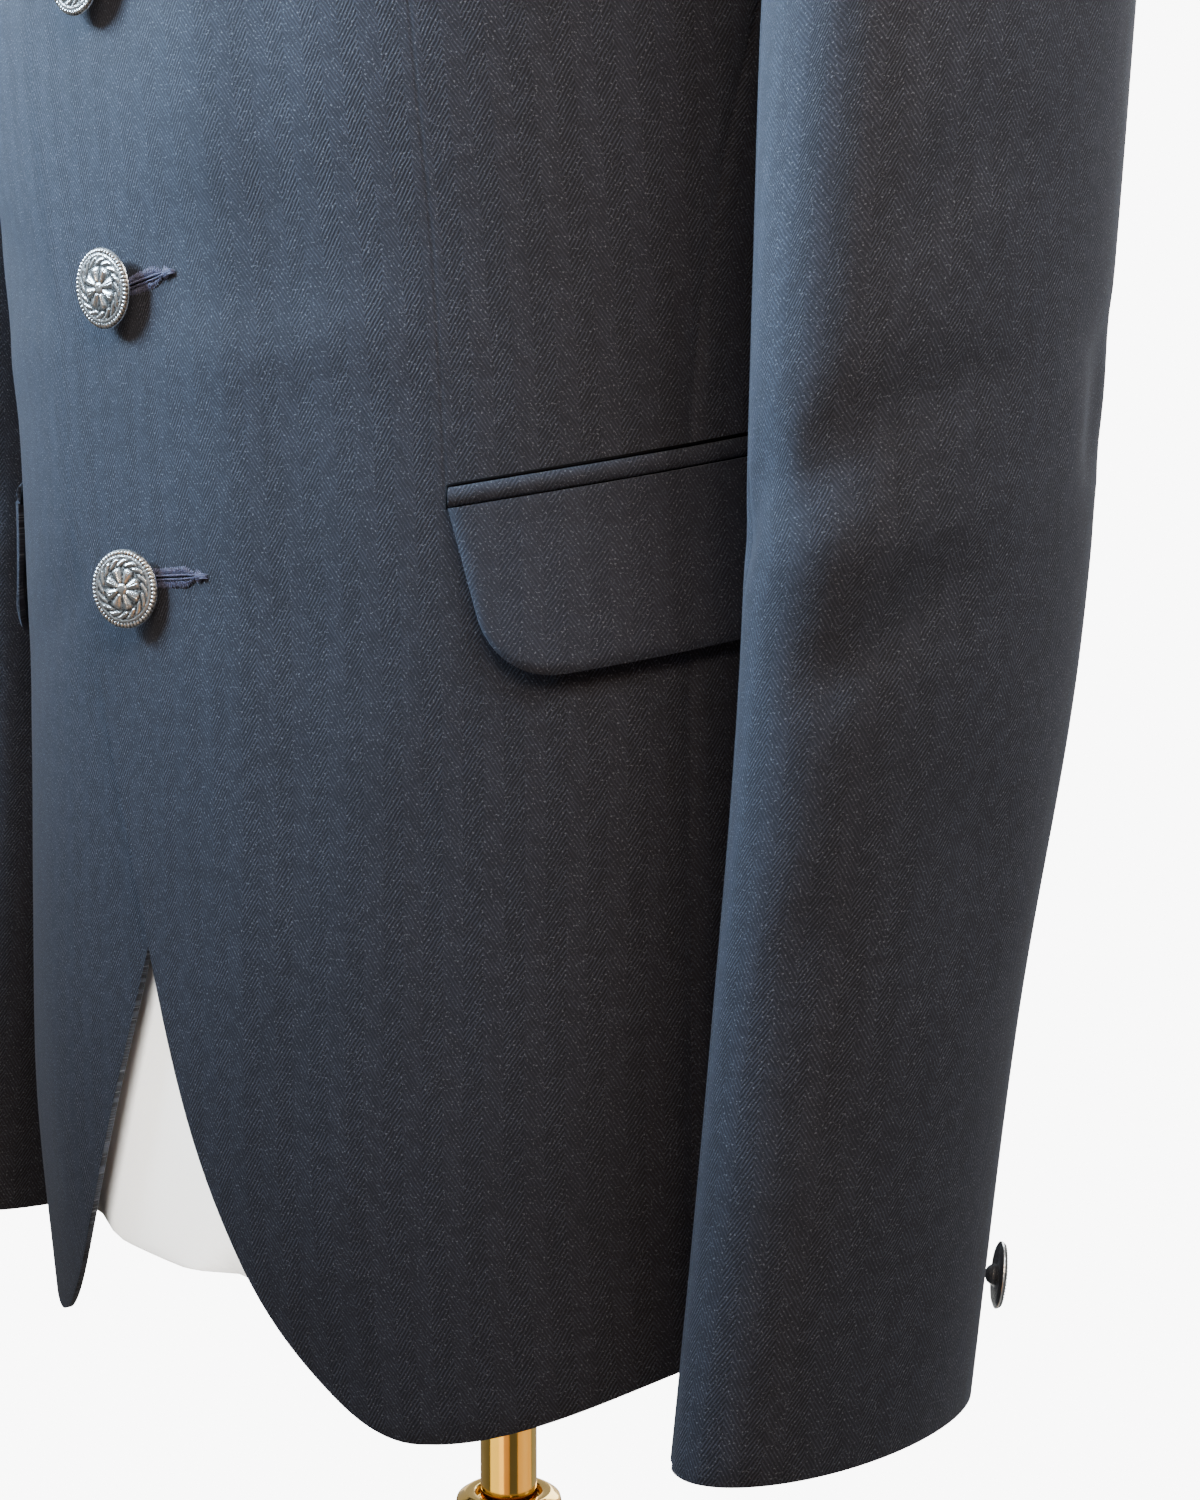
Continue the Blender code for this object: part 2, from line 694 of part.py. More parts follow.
def pocket_chart(along, down):
    """Chart points at distances along the pocket's line, towards the back, and down from it."""
    turns = np.linspace(0.0, math.radians(150), 300)
    ring, _ = on_body(np.stack([turns, np.full(300, POCKET_Z)], axis=-1))
    lengths = np.concatenate([[0.0], np.cumsum(np.linalg.norm(np.diff(ring, axis=0), axis=1))])
    first = np.interp(POCKET_FRONT_X, ring[:120, 0], lengths[:120])
    turn = np.interp(first + along, lengths, turns)
    return np.stack([turn, POCKET_Z + POCKET_RISE * along - down], axis=-1)


def strip(bottom_edge, top_edge, rows):
    share = np.linspace(0.0, 1.0, rows)[:, None, None]
    return (1 - share) * bottom_edge[None] + share * top_edge[None]


def lay_on_panel(chart, height):
    """Outer face of a piece laid on a panel, its outer face at the given height over the cloth."""
    points, normals = on_body(chart)
    lift = CLOTH + height + overlap_lift(points[..., 0])
    return points + np.asarray(lift)[..., None] * normals


def flap_points():
    """The flap: both lower corners round, its front edge slanting back."""
    columns = 15
    along = np.linspace(0.0, POCKET_LENGTH, columns)
    reach = np.minimum(along, POCKET_LENGTH - along)
    near_end = np.clip((FLAP_CORNER - reach) / FLAP_CORNER, 0.0, 1.0)
    depth = FLAP_DEPTH - 0.62 * FLAP_CORNER * near_end**2.4
    squeeze = 1 - 2 * FLAP_SLANT / POCKET_LENGTH
    low_along = POCKET_LENGTH / 2 + (along - POCKET_LENGTH / 2) * squeeze
    top_down = JET_HEIGHT + SEAM_GAP
    top = np.stack([along, np.full(columns, top_down)], axis=-1)
    low = np.stack([low_along, top_down + depth], axis=-1)
    flat = strip(low, top, 6)
    hang = 1 - (flat[..., 1] - top_down) / FLAP_DEPTH
    height = LAY_GAP + FLAP_WALL + FLAP_STAND_OFF * (1 - hang) ** 1.5
    return lay_on_panel(pocket_chart(flat[..., 0], flat[..., 1]), height)


def jet_points():
    along = np.linspace(0.0, POCKET_LENGTH, 15)
    low = np.stack([along, np.full(15, JET_HEIGHT)], axis=-1)
    top = np.stack([along, np.zeros(15)], axis=-1)
    flat = strip(low, top, 3)
    chart = pocket_chart(flat[..., 0], flat[..., 1])
    return lay_on_panel(chart, np.full(flat.shape[:-1], LAY_GAP + JET_WALL))


def add_pockets():
    for side, mirror in (("left", False), ("right", True)):
        flap, jet = flap_points(), jet_points()
        if mirror:
            flap, jet = mirror_x(flap), mirror_x(jet)
        add_cloth(f"pocket_flap_{side}", flap, wall=FLAP_WALL, flip=mirror)
        add_cloth(f"pocket_jet_{side}", jet, wall=JET_WALL, flip=mirror)


# Turned pieces


def add_turned(name, profile, steps, material, closed=False):
    """A turned piece from (radius, height) points that run down its outer side."""
    mesh = bpy.data.meshes.new(name)
    points = [(radius, 0.0, height) for radius, height in profile]
    edges = [(k, k + 1) for k in range(len(points) - 1)]
    if closed:
        edges.append((len(points) - 1, 0))
    mesh.from_pydata(points, edges, [])
    thing = add_object(name, mesh, material)
    turn = thing.modifiers.new("Turn", "SCREW")
    turn.steps = steps
    turn.render_steps = steps
    turn.use_merge_vertices = True
    turn.merge_threshold = 0.00001
    return thing


def button_profile(radius, shank):
    """A domed metal face on a short shank, foot at height 0."""
    face = shank + 0.0011
    rim = face + 0.0012
    return [
        (0.0, rim + 0.0010),
        (radius * 0.6, rim + 0.0006),
        (radius * 0.93, rim),
        (radius, rim - 0.0005),
        (radius, face),
        (radius * 0.86, shank),
        (SHANK_RADIUS, shank),
        (SHANK_RADIUS, 0.0),
        (0.0, 0.0),
    ]


def place(thing, foot, way):
    """Stands a turned piece on a point, its axis along a direction."""
    thing.rotation_mode = "QUATERNION"
    thing.rotation_quaternion = Vector(way).to_track_quat("Z", "Y")
    thing.location = Vector(foot)


def add_buttons():
    for number, turn in enumerate(BUTTON_TURNS):
        height = BUTTON_LAST_Z + (len(BUTTON_TURNS) - 1 - number) * BUTTON_PITCH
        level = chart_of(np.array([[BUTTON_X, -float(through(BODY_SECTIONS, 2, height)), height]]))
        points, normals = on_body(level)
        foot = points[0] + (CLOTH + overlap_lift(0.0) + LAY_GAP) * normals[0]
        turn = math.radians(turn)
        way = normals[0] * math.cos(turn) + np.array([math.sin(turn), 0.0, 0.0])
        foot = foot + way * SHANK_RADIUS * abs(math.sin(turn))
        profile = button_profile(BUTTON_RADIUS, BUTTON_SHANK)
        place(add_turned(f"front_button_{number + 1}", profile, 18, "button_metal"), foot, way)
    share = CUFF_BUTTON_SHARE + np.array([-0.01, 0.0, 0.01])
    near = sleeve_points(share, CUFF_BUTTON_TURN + np.array([-0.05, 0.0, 0.05]))
    out = np.cross(near[1, 2] - near[1, 0], near[0, 1] - near[2, 1])
    out *= np.sign(out[0]) / np.linalg.norm(out)
    for side, mirror in (("left", 1.0), ("right", -1.0)):
        turned = np.array([mirror, 1.0, 1.0])
        profile = button_profile(CUFF_BUTTON_RADIUS, CUFF_BUTTON_SHANK)
        button = add_turned(f"cuff_button_{side}", profile, 16, "button_metal")
        place(button, (near[1, 1] + LAY_GAP * out) * turned, out * turned)


# Dress form and stand


def form_distance(points):
    """Below zero inside the dress form: clear of the cloth, carrying it on the shoulders."""
    ease = FORM_REST_GAP + (FORM_EASE - FORM_REST_GAP) * (
        1 - smooth_step((points[..., 2] - 1.30) / 0.08)
    )
    trunk = body_distance(points) + ease
    arm_plane = ARMHOLE_FOOT_X - FORM_FLAT_AT_ARM + ARMHOLE_SLOPE * np.abs(points[..., 2] - FAN_HEIGHT)
    arm = np.abs(points[..., 0]) - arm_plane
    return -smooth_min(-trunk, -arm, FORM_ARM_BLEND)


def neck_ring(turns, height):
    """The neck stump at one height or at one for each turn, an oval round its leaning axis."""
    axis_y = NECK_FOOT[0] + NECK_LEAN * (height - NECK_FOOT[1])
    x = (NECK_HALF_WIDTH - NECK_EASE) * np.sin(turns)
    y = axis_y - (NECK_HALF_DEPTH - NECK_EASE) * np.cos(turns)
    return np.stack([x, y, turns * 0 + height], axis=-1)


def add_form():
    """The torso and neck in one shell, closed above and below."""
    turns = np.linspace(0.0, 2 * math.pi, FORM_SIDES + 1)[:-1]
    line = neckline(0.0, math.pi)
    top = np.interp(np.minimum(turns, 2 * math.pi - turns), line[:, 0], line[:, 1])
    top = top + FORM_PAST_NECKLINE
    rows = []
    for height in np.linspace(FORM_BOTTOM_Z, FORM_EVEN_TO, 10)[:-1]:
        start, direction = chart_rays(turns, np.full(turns.shape, height))
        rows.append(cast(start, direction, form_distance))
    for share in np.linspace(0.0, 1.0, 10):
        start, direction = chart_rays(turns, FORM_EVEN_TO + share * (top - FORM_EVEN_TO))
        rows.append(cast(start, direction, form_distance))
    foot = rows[-1]
    bend = neck_ring(turns, foot[:, 2] + NECK_BEND)
    for share in (0.3, 0.6, 1.0):
        early, late = (1 - share) ** 2, share**2
        rows.append(early * foot + 2 * share * (1 - share) * bend + late * neck_ring(turns, NECK_FROM_Z))
    rows.append(neck_ring(turns, FORM_TOP_Z))
    mesh = grid_mesh("form_torso", np.array(rows), closed=True)
    shape = bmesh.new()
    shape.from_mesh(mesh)
    bmesh.ops.holes_fill(shape, edges=[edge for edge in shape.edges if edge.is_boundary])
    bmesh.ops.recalc_face_normals(shape, faces=shape.faces)
    shape.to_mesh(mesh)
    shape.free()
    add_object("form_torso", mesh, "form_cover")


def add_stand():
    plate_top = FORM_BOTTOM_Z - SEAM_GAP
    plate_low = plate_top - PLATE_HEIGHT
    add_turned(
        "form_plate",
        [(0.0, plate_top), (PLATE_RADIUS, plate_top), (PLATE_RADIUS, plate_low + 0.003),
         (PLATE_RADIUS - 0.003, plate_low), (0.0, plate_low)],
        28, "brass",
    )
    pole_top = plate_low - SEAM_GAP
    add_turned(
        "pole_inner",
        [(0.0, pole_top), (POLE_RADIUS, pole_top), (POLE_RADIUS, TUBE_TOP_Z + SEAM_GAP),
         (0.0, TUBE_TOP_Z + SEAM_GAP)],
        28, "brass",
    )
    add_turned(
        "pole_outer",
        [(0.0, TUBE_TOP_Z), (TUBE_RADIUS, TUBE_TOP_Z), (TUBE_RADIUS, BOSS_TOP_Z + SEAM_GAP),
         (0.0, BOSS_TOP_Z + SEAM_GAP)],
        28, "brass",
    )
    bore, step, top = POLE_RADIUS + SEAM_GAP, TUBE_RADIUS + SEAM_GAP, COLLAR_TOP_Z
    low, seat = top - COLLAR_DROP, TUBE_TOP_Z + SEAM_GAP
    add_turned(
        "pole_collar",
        [(bore, top - 0.004), (RECESS_RADIUS, top - 0.004), (RECESS_RADIUS, top),
         (COLLAR_RADIUS - 0.004, top), (COLLAR_RADIUS - 0.001, top - 0.002), (COLLAR_RADIUS, top - 0.007),
         (COLLAR_RADIUS - 0.001, top - 0.015), (COLLAR_RADIUS - 0.003, top - 0.022),
         (COLLAR_RADIUS - 0.0034, low), (step, low), (step, seat), (bore, seat)],
        28, "brass", closed=True,
    )
    add_turned(
        "stand_base",
        [(0.0, BOSS_TOP_Z), (BOSS_RADIUS - 0.003, BOSS_TOP_Z), (BOSS_RADIUS, BOSS_TOP_Z - 0.003),
         (BOSS_RADIUS + 0.001, 0.030), (BOSS_RADIUS + 0.012, 0.021), (0.100, 0.0165),
         (BASE_RADIUS - 0.010, BASE_EDGE + 0.002), (BASE_RADIUS - 0.002, BASE_EDGE - 0.001),
         (BASE_RADIUS, BASE_EDGE - 0.004), (BASE_RADIUS, 0.001), (BASE_RADIUS - 0.001, 0.0), (0.0, 0.0)],
        40, "brass",
    )
    axis_y = NECK_FOOT[0] + NECK_LEAN * (FORM_TOP_Z - NECK_FOOT[1])
    cap = add_turned(
        "neck_cap",
        [(0.0, 0.016), (0.006, 0.0155), (0.009, 0.012), (0.007, 0.0085), (0.012, 0.0068),
         (CAP_RADIUS - 0.004, 0.0052), (CAP_RADIUS, 0.0035), (CAP_RADIUS, 0.001),
         (CAP_RADIUS - 0.001, 0.0), (0.0, 0.0)],
        24, "brass",
    )
    cap.location = (0.0, axis_y, FORM_TOP_Z + SEAM_GAP)


clear_scene()
PARTS = make_collection("bandhgala_jacket")
MATERIALS = {name: make_material(name) for name in COLOURS}
add_form()
add_stand()
add_body_panels()
add_sleeves()
add_collar()
add_pockets()
add_buttons()
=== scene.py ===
"""The looks of a bandhgala jacket on a limbless dress form with a brass stand.

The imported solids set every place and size. Each cut piece of cloth is made again as a thin
shell on the same body shape, fine enough for its soft creases, and woven by its own UV map.
"""

import math

import bpy
import numpy as np
from mathutils import Matrix, Vector


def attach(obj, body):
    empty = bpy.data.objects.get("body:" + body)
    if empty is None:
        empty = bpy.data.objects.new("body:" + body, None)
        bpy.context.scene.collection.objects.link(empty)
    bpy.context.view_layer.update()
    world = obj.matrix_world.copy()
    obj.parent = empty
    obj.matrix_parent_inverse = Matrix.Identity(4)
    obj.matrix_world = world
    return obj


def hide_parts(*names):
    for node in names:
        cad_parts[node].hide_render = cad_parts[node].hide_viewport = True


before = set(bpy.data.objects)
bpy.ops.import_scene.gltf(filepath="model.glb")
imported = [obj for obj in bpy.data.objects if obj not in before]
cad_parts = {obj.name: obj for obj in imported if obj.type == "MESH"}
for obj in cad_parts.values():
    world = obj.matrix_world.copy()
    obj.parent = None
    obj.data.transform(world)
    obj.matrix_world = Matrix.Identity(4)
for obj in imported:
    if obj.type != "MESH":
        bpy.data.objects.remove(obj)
bpy.ops.object.select_all(action="DESELECT")
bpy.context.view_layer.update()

# Sizes, as in the part's source

# Cloth and seams
CLOTH = 0.002  # wall of every jacket panel
SEAM_GAP = 0.0003  # between two pieces that are sewn together
LAY_GAP = 0.0005  # between a piece and the one that it lies on
OVERLAP_GAP = 0.0009  # between the two fronts where they overlap
OVERLAP_RAMP = (0.008, 0.040)  # past the overlap, the left front comes down between these

# The body inside the cloth: height, half width, front depth, back depth, squareness
BODY_SECTIONS = (
    (0.700, 0.164, 0.138, 0.127, 2.45),
    (0.740, 0.164, 0.143, 0.128, 2.45),
    (0.800, 0.164, 0.149, 0.129, 2.45),
    (0.880, 0.163, 0.149, 0.127, 2.45),
    (0.980, 0.160, 0.1505, 0.117, 2.45),
    (1.076, 0.162, 0.156, 0.107, 2.45),
    (1.135, 0.170, 0.162, 0.108, 2.45),
    (1.190, 0.183, 0.164, 0.112, 2.50),
    (1.245, 0.202, 0.158, 0.115, 2.55),
    (1.300, 0.217, 0.142, 0.114, 2.50),
    (1.340, 0.216, 0.119, 0.107, 2.30),
    (1.380, 0.188, 0.088, 0.088, 2.10),
    (1.420, 0.120, 0.058, 0.062, 2.00),
    (1.460, 0.060, 0.046, 0.042, 2.00),
    (1.560, 0.050, 0.045, 0.045, 2.00),
)
SHOULDER_INNER = (0.0, -0.004, 1.390)  # centre of the padded shoulder roll at the neck
SHOULDER_OUTER = (0.236, -0.016, 1.331)  # and past the sleeve head
SHOULDER_RADII = (0.058, 0.053)
SHOULDER_BLEND = 0.050
NECK_HALF_WIDTH = 0.052
NECK_HALF_DEPTH = 0.058
NECK_FOOT = (-0.018, 1.400)  # y and z of a point on the neck's axis
NECK_LEAN = -0.14  # metres forward for each metre up
NECK_DEPTH = -0.04  # the neck leans from this far below that point
NECK_BLEND = 0.016

# Chart of the body: upright below the armpits, fanned out from one point above them
FAN_HEIGHT = 1.20
FAN_SCALE = 0.20

# Jacket lines
SIDE_SEAM_CELLS = 11
ARMHOLE_CELLS = 7  # from the side seam up to the shoulder seam
SHOULDER_CELLS = 5
PANEL_CELLS = SIDE_SEAM_CELLS + ARMHOLE_CELLS + SHOULDER_CELLS
FRONT_CELLS = 10
CORNER_CELLS = 5
SIDE_CELLS = 5
BACK_CELLS = 8
FRONT_CURVE_CELLS = 6
OVERLAP = 0.034  # front edge past the centre line, on each side
FRONT_CURVE = (  # handles of the cutaway, x and z from the front edge down to the hem
    (-OVERLAP, 1.005),
    (-0.005, 0.866),
    (0.050, 0.722),
    (0.098, 0.727),
)
CORNER_SHARE = 0.62  # share of the cutaway counted as front edge, the rest as hem
HEM_SIDE_Z = 0.754
HEM_RISE = (math.radians(37), math.radians(75))  # turns between which the hem rises
FRONT_SEAM_HEM = math.radians(67)
BACK_SEAM_HEM = math.radians(113)
SEAM_STRAIGHT_TO = 1.02  # the side seams run straight up to this height
ARMHOLE_CENTRE = (-0.020, 1.296)  # y and z
ARMHOLE_FOOT_X = 0.1885  # the armhole's plane at FAN_HEIGHT
ARMHOLE_SLOPE = 0.168
ARMHOLE_FRONT_SEAM = math.radians(-48)  # turns round the armhole, 0 at the front, 90 at the top
ARMHOLE_BACK_SEAM = math.radians(-132)
NECKLINE_HALF_WIDTH = 0.064
NECKLINE_FRONT = (-0.092, 1.376)
NECKLINE_BACK = (0.047, 1.446)

# Collar band
COLLAR_HEIGHT = 0.040
COLLAR_WALL = 0.0028
COLLAR_CORNER = 0.014
COLLAR_HALF_GAP = math.radians(1.3)
COLLAR_LEAN_IN = 0.10
COLLAR_TURN = 0.3  # share of its height over which it turns from the body's slope to upright
COLLAR_SEAM = 0.0009  # chart height between the neckline and the collar's lower edge

# Buttons
BUTTON_RADIUS = 0.0122
BUTTON_LAST_Z = 0.984
BUTTON_PITCH = 0.092
BUTTON_TURNS = (4, -3, 2, 5, 19)  # degrees that each hangs turned to the wearer's left, top first
BUTTON_SHANK = 0.0040
BUTTON_X = 0.002
SHANK_RADIUS = 0.0022
CUFF_BUTTON_RADIUS = 0.0100
CUFF_BUTTON_SHANK = 0.0028

# Hip pocket
POCKET_FRONT_X = 0.1118
POCKET_Z = 1.015  # top of the upper jet at its front end
POCKET_RISE = 0.17  # metres up for each metre back
POCKET_LENGTH = 0.152
JET_HEIGHT = 0.0058
JET_WALL = 0.0014
JET_SWELL = 0.0011
FLAP_DEPTH = 0.053
FLAP_WALL = 0.0020
FLAP_SLANT = 0.008
FLAP_STAND_OFF = 0.0036  # the flap's lower edge hangs off the panel by this much more
FLAP_RIPPLE = 0.0007
FLAP_CROWN = 0.0013  # a doubled flap is this much thicker between its turned edges
FLAP_ROLL = 0.0028  # and comes down to them over this width
FLAP_CURVE, FLAP_CURVE_RISE = 0.027, 0.029  # reach and height of its rounded lower corners

# Sleeve: share of length, inner x and z, outer x and z, centre y, half front-to-back
SLEEVE_SECTIONS = (
    (0.00, 0.1895, 1.203, 0.2215, 1.390, -0.020, 0.068),
    (0.06, 0.1920, 1.194, 0.2410, 1.383, -0.021, 0.070),
    (0.14, 0.1905, 1.183, 0.2570, 1.346, -0.023, 0.071),
    (0.24, 0.1870, 1.165, 0.2640, 1.280, -0.027, 0.070),
    (0.36, 0.1820, 1.130, 0.2630, 1.203, -0.030, 0.067),
    (0.50, 0.1795, 1.060, 0.2555, 1.095, -0.030, 0.0665),
    (0.66, 0.1755, 0.960, 0.2465, 0.972, -0.032, 0.064),
    (0.83, 0.1715, 0.858, 0.2380, 0.862, -0.043, 0.057),
    (1.00, 0.1690, 0.742, 0.2310, 0.742, -0.056, 0.0565),
)
SLEEVE_HEAD_SHARE = 0.12  # the sleeve takes the armhole's own shape up to here
FOREARM_SEAM = math.radians(-28)
HINDARM_SEAM = math.radians(168)
CUFF_SLANT = 0.003  # the cuff is this much lower in front than at its middle
CUFF_SLANT_TURN = math.radians(-20)
CUFF_BUTTON_TURN = math.radians(151)
CUFF_BUTTON_SHARE = 0.950  # of the sleeve's length

# Dress form and stand
FORM_BOTTOM_Z = 0.760
FORM_TOP_Z = 1.515
PLATE_RADIUS = 0.055
PLATE_HEIGHT = 0.008
POLE_RADIUS = 0.01025
TUBE_RADIUS = 0.0135
TUBE_TOP_Z = 0.628
COLLAR_TOP_Z = 0.652
COLLAR_RADIUS = 0.0198
RECESS_RADIUS = 0.0121
COLLAR_DROP = 0.036
BASE_RADIUS = 0.175
BASE_EDGE = 0.010
BOSS_RADIUS = 0.024
BOSS_TOP_Z = 0.045
CAP_RADIUS = 0.044

# The cuts, flat: width and length in metres, and the area where a cut isn't a rectangle
FRONT_CUT, FRONT_AREA = (0.285, 0.760), 0.155
SIDE_CUT, SIDE_AREA = (0.135, 0.500), 0.056
BACK_CUT, BACK_AREA = (0.240, 0.740), 0.130
TOP_SLEEVE_CUT, TOP_SLEEVE_AREA = (0.230, 0.680), 0.120
UNDER_SLEEVE_CUT, UNDER_SLEEVE_AREA = (0.190, 0.560), 0.085

# Looks of the cloth and of the picture
FRONT_GRAIN = 0.0  # the turn where the fronts' weave stands straight
CLOTH_DARK = (0.0120, 0.0130, 0.0180)
CLOTH_PALE = (0.053, 0.060, 0.084)
CLOTH_FLECK = (0.260, 0.280, 0.320)
CAMERA_TURN = 46.0
BACKDROP_GLOW = 9.0
FLOOR_GLOW = 10.2  # the floor shows this glow in part, so that it looks as bright as the backdrop

# Curves, directions and lengths


def smooth_step(share):
    share = np.clip(share, 0.0, 1.0)
    return share * share * (3 - 2 * share)


def unit(vectors):
    return vectors / np.linalg.norm(vectors, axis=-1, keepdims=True)


def distances(points, axis=0):
    """Distance run along a line of points, or along one axis of a grid, from its start."""
    steps = np.linalg.norm(np.diff(points, axis=axis), axis=-1)
    start = np.zeros_like(np.take(steps, [0], axis=axis))
    return np.concatenate([start, np.cumsum(steps, axis=axis)], axis=axis)


def through(table, column, at):
    """A smooth curve through one column of a table, read at values of its first column."""
    rows = np.array(table, float)
    places, values = rows[:, 0], rows[:, column]
    slopes = np.gradient(values, places)
    at = np.clip(at, places[0], places[-1])
    low = np.clip(np.searchsorted(places, at, side="right") - 1, 0, len(places) - 2)
    span = places[low + 1] - places[low]
    t = (at - places[low]) / span
    return (
        values[low] * (2 * t**3 - 3 * t**2 + 1)
        + slopes[low] * span * (t**3 - 2 * t**2 + t)
        + values[low + 1] * (3 * t**2 - 2 * t**3)
        + slopes[low + 1] * span * (t**3 - t**2)
    )


# The body shape

NORMAL_STEP = 0.0005
HALVINGS = 36
BODY_REACH, ARMHOLE_REACH = 0.5, 0.16  # farther than any point from the axis or armhole's centre
FRONT_RADIUS = 0.15  # about that of the body's front, for the first guess of a turn


def smooth_min(a, b, blend):
    share = np.clip(0.5 + 0.5 * (b - a) / blend, 0.0, 1.0)
    return b * (1 - share) + a * share - blend * share * (1 - share)


def torso_distance(points):
    """How far outside the torso's squared oval section each point is, measured from the axis."""
    x, y, z = np.abs(points[..., 0]), points[..., 1], points[..., 2]
    half_width = through(BODY_SECTIONS, 1, z)
    depth = np.where(y < 0, through(BODY_SECTIONS, 2, z), through(BODY_SECTIONS, 3, z))
    power = through(BODY_SECTIONS, 4, z)
    level = ((x / half_width) ** power + (np.abs(y) / depth) ** power) ** (1 / power)
    reach = np.hypot(x, y)
    return reach - reach / np.maximum(level, 1e-9)


def shoulder_distance(points):
    """Distance to the rounded roll that runs from the neck out past each shoulder point."""
    mirrored = points.copy()
    mirrored[..., 0] = np.abs(mirrored[..., 0])
    start, end = np.array(SHOULDER_INNER), np.array(SHOULDER_OUTER)
    along = end - start
    share = np.clip(((mirrored - start) @ along) / (along @ along), 0.0, 1.0)
    centre = start + share[..., None] * along
    radius = SHOULDER_RADII[0] + share * (SHOULDER_RADII[1] - SHOULDER_RADII[0])
    return np.linalg.norm(mirrored - centre, axis=-1) - radius


def neck_distance(points):
    x, z = points[..., 0], points[..., 2]
    y = points[..., 1] - NECK_FOOT[0] - NECK_LEAN * np.maximum(z - NECK_FOOT[1], NECK_DEPTH)
    level = np.hypot(x / NECK_HALF_WIDTH, y / NECK_HALF_DEPTH)
    reach = np.hypot(x, y)
    return reach - reach / np.maximum(level, 1e-9)


def body_distance(points):
    """Below zero inside the body, which is the inner face of the jacket's cloth."""
    trunk = smooth_min(torso_distance(points), shoulder_distance(points), SHOULDER_BLEND)
    return smooth_min(trunk, neck_distance(points), NECK_BLEND)


def normals_at(points):
    """Outward normals of the body, from its distances a little to each side."""
    shifts = NORMAL_STEP * np.eye(3)
    slopes = [body_distance(points + shift) - body_distance(points - shift) for shift in shifts]
    return unit(np.stack(slopes, axis=-1))


def on_surface(point_at, shape, far):
    """Halves each reach until its point lies on the body's surface, and gives those points."""
    near, far = np.zeros(shape), np.full(shape, far)
    for _ in range(HALVINGS):
        middle = (near + far) / 2
        inside = body_distance(point_at(middle)) < 0
        near, far = np.where(inside, middle, near), np.where(inside, far, middle)
    return point_at(near)


# The chart: turn from the front round the wearer's left side, and a height that fans out


def chart_rays(turn, height):
    """Where each chart point's ray starts, and its direction."""
    rise = np.maximum(height - FAN_HEIGHT, 0.0) / FAN_SCALE
    start = np.stack([turn * 0, turn * 0, np.minimum(height, FAN_HEIGHT)], axis=-1)
    direction = np.stack(
        [np.cos(rise) * np.sin(turn), -np.cos(rise) * np.cos(turn), np.sin(rise)], axis=-1
    )
    return start, direction


def chart_of(points):
    """The chart point whose ray passes through each point."""
    points = np.asarray(points, float)
    turn = np.arctan2(points[..., 0], -points[..., 1])
    over = points[..., 2] - FAN_HEIGHT
    rise = np.arctan2(over, np.hypot(points[..., 0], points[..., 1]))
    height = np.where(over > 0, FAN_HEIGHT + FAN_SCALE * rise, points[..., 2])
    return np.stack([turn, height], axis=-1)


def on_body(chart):
    """Points and outward normals of the body at chart points."""
    start, direction = chart_rays(chart[..., 0], chart[..., 1])
    shape = start.shape[:-1]
    points = on_surface(lambda reach: start + reach[..., None] * direction, shape, BODY_REACH)
    return points, normals_at(points)


def chart_at_x(x, height):
    """Chart points on the front of the body with the given x, at the given chart heights."""
    x, height = np.broadcast_arrays(np.asarray(x, float), np.asarray(height, float))
    turn = x / FRONT_RADIUS
    for _ in range(12):
        points, _ = on_body(np.stack([turn, height], axis=-1))
        turn = turn + (x - points[..., 0]) / FRONT_RADIUS
    return np.stack([turn, height], axis=-1)


# Seam lines, each as chart points from one end to the other


def spread_evenly(line, cells):
    """The same line with evenly spaced points, cells + 1 of them."""
    along = distances(on_body(line)[0])
    wanted = np.linspace(0.0, along[-1], cells + 1)
    return np.stack([np.interp(wanted, along, line[:, k]) for k in range(2)], axis=-1)


def joined(*runs):
    """One rail from several (line, cells) runs that meet end to end."""
    rails = [spread_evenly(line, cells) for line, cells in runs]
    return np.concatenate([rails[0]] + [rail[1:] for rail in rails[1:]])


def armhole_points(turns):
    """The armhole: where a leaning plane cuts the body. Turn 0 is its front, 90 degrees its top."""
    turns = np.asarray(turns, float)
    sleeve = SLEEVE_SECTIONS[0]
    half_depth, half_height = sleeve[6], (sleeve[4] - sleeve[2]) / 2
    way = unit(np.stack([-half_depth * np.cos(turns), half_height * np.sin(turns)], axis=-1))

    def at(reach):
        y = ARMHOLE_CENTRE[0] + reach * way[..., 0]
        z = ARMHOLE_CENTRE[1] + reach * way[..., 1]
        x = ARMHOLE_FOOT_X + ARMHOLE_SLOPE * (z - FAN_HEIGHT)
        return np.stack([x, y, z], axis=-1)

    return on_surface(at, turns.shape, ARMHOLE_REACH)


def armhole_line(start, end):
    return chart_of(armhole_points(np.linspace(start, end, 60)))


def side_seam(hem_turn, armhole_turn):
    """A side seam, from the hem up to its point on the armhole."""
    top = chart_of(armhole_points(np.array([armhole_turn])))[0]
    foot = hem_height(hem_turn)
    share = np.linspace(0.0, 1.0, 60)
    height = foot + share * (top[1] - foot)
    bend = smooth_step((height - SEAM_STRAIGHT_TO) / (top[1] - SEAM_STRAIGHT_TO))
    turn = hem_turn + (top[0] - hem_turn) * bend
    return np.stack([turn, height], axis=-1)


def hem_height(turn):
    """Height of the hem round the body, lowest at the rounded front."""
    low = FRONT_CURVE[-1][1]
    rise = smooth_step((turn - HEM_RISE[0]) / (HEM_RISE[1] - HEM_RISE[0]))
    return low + (HEM_SIDE_Z - low) * rise


def hem_line(start, end):
    turns = np.linspace(start, end, 60)
    return np.stack([turns, hem_height(turns)], axis=-1)


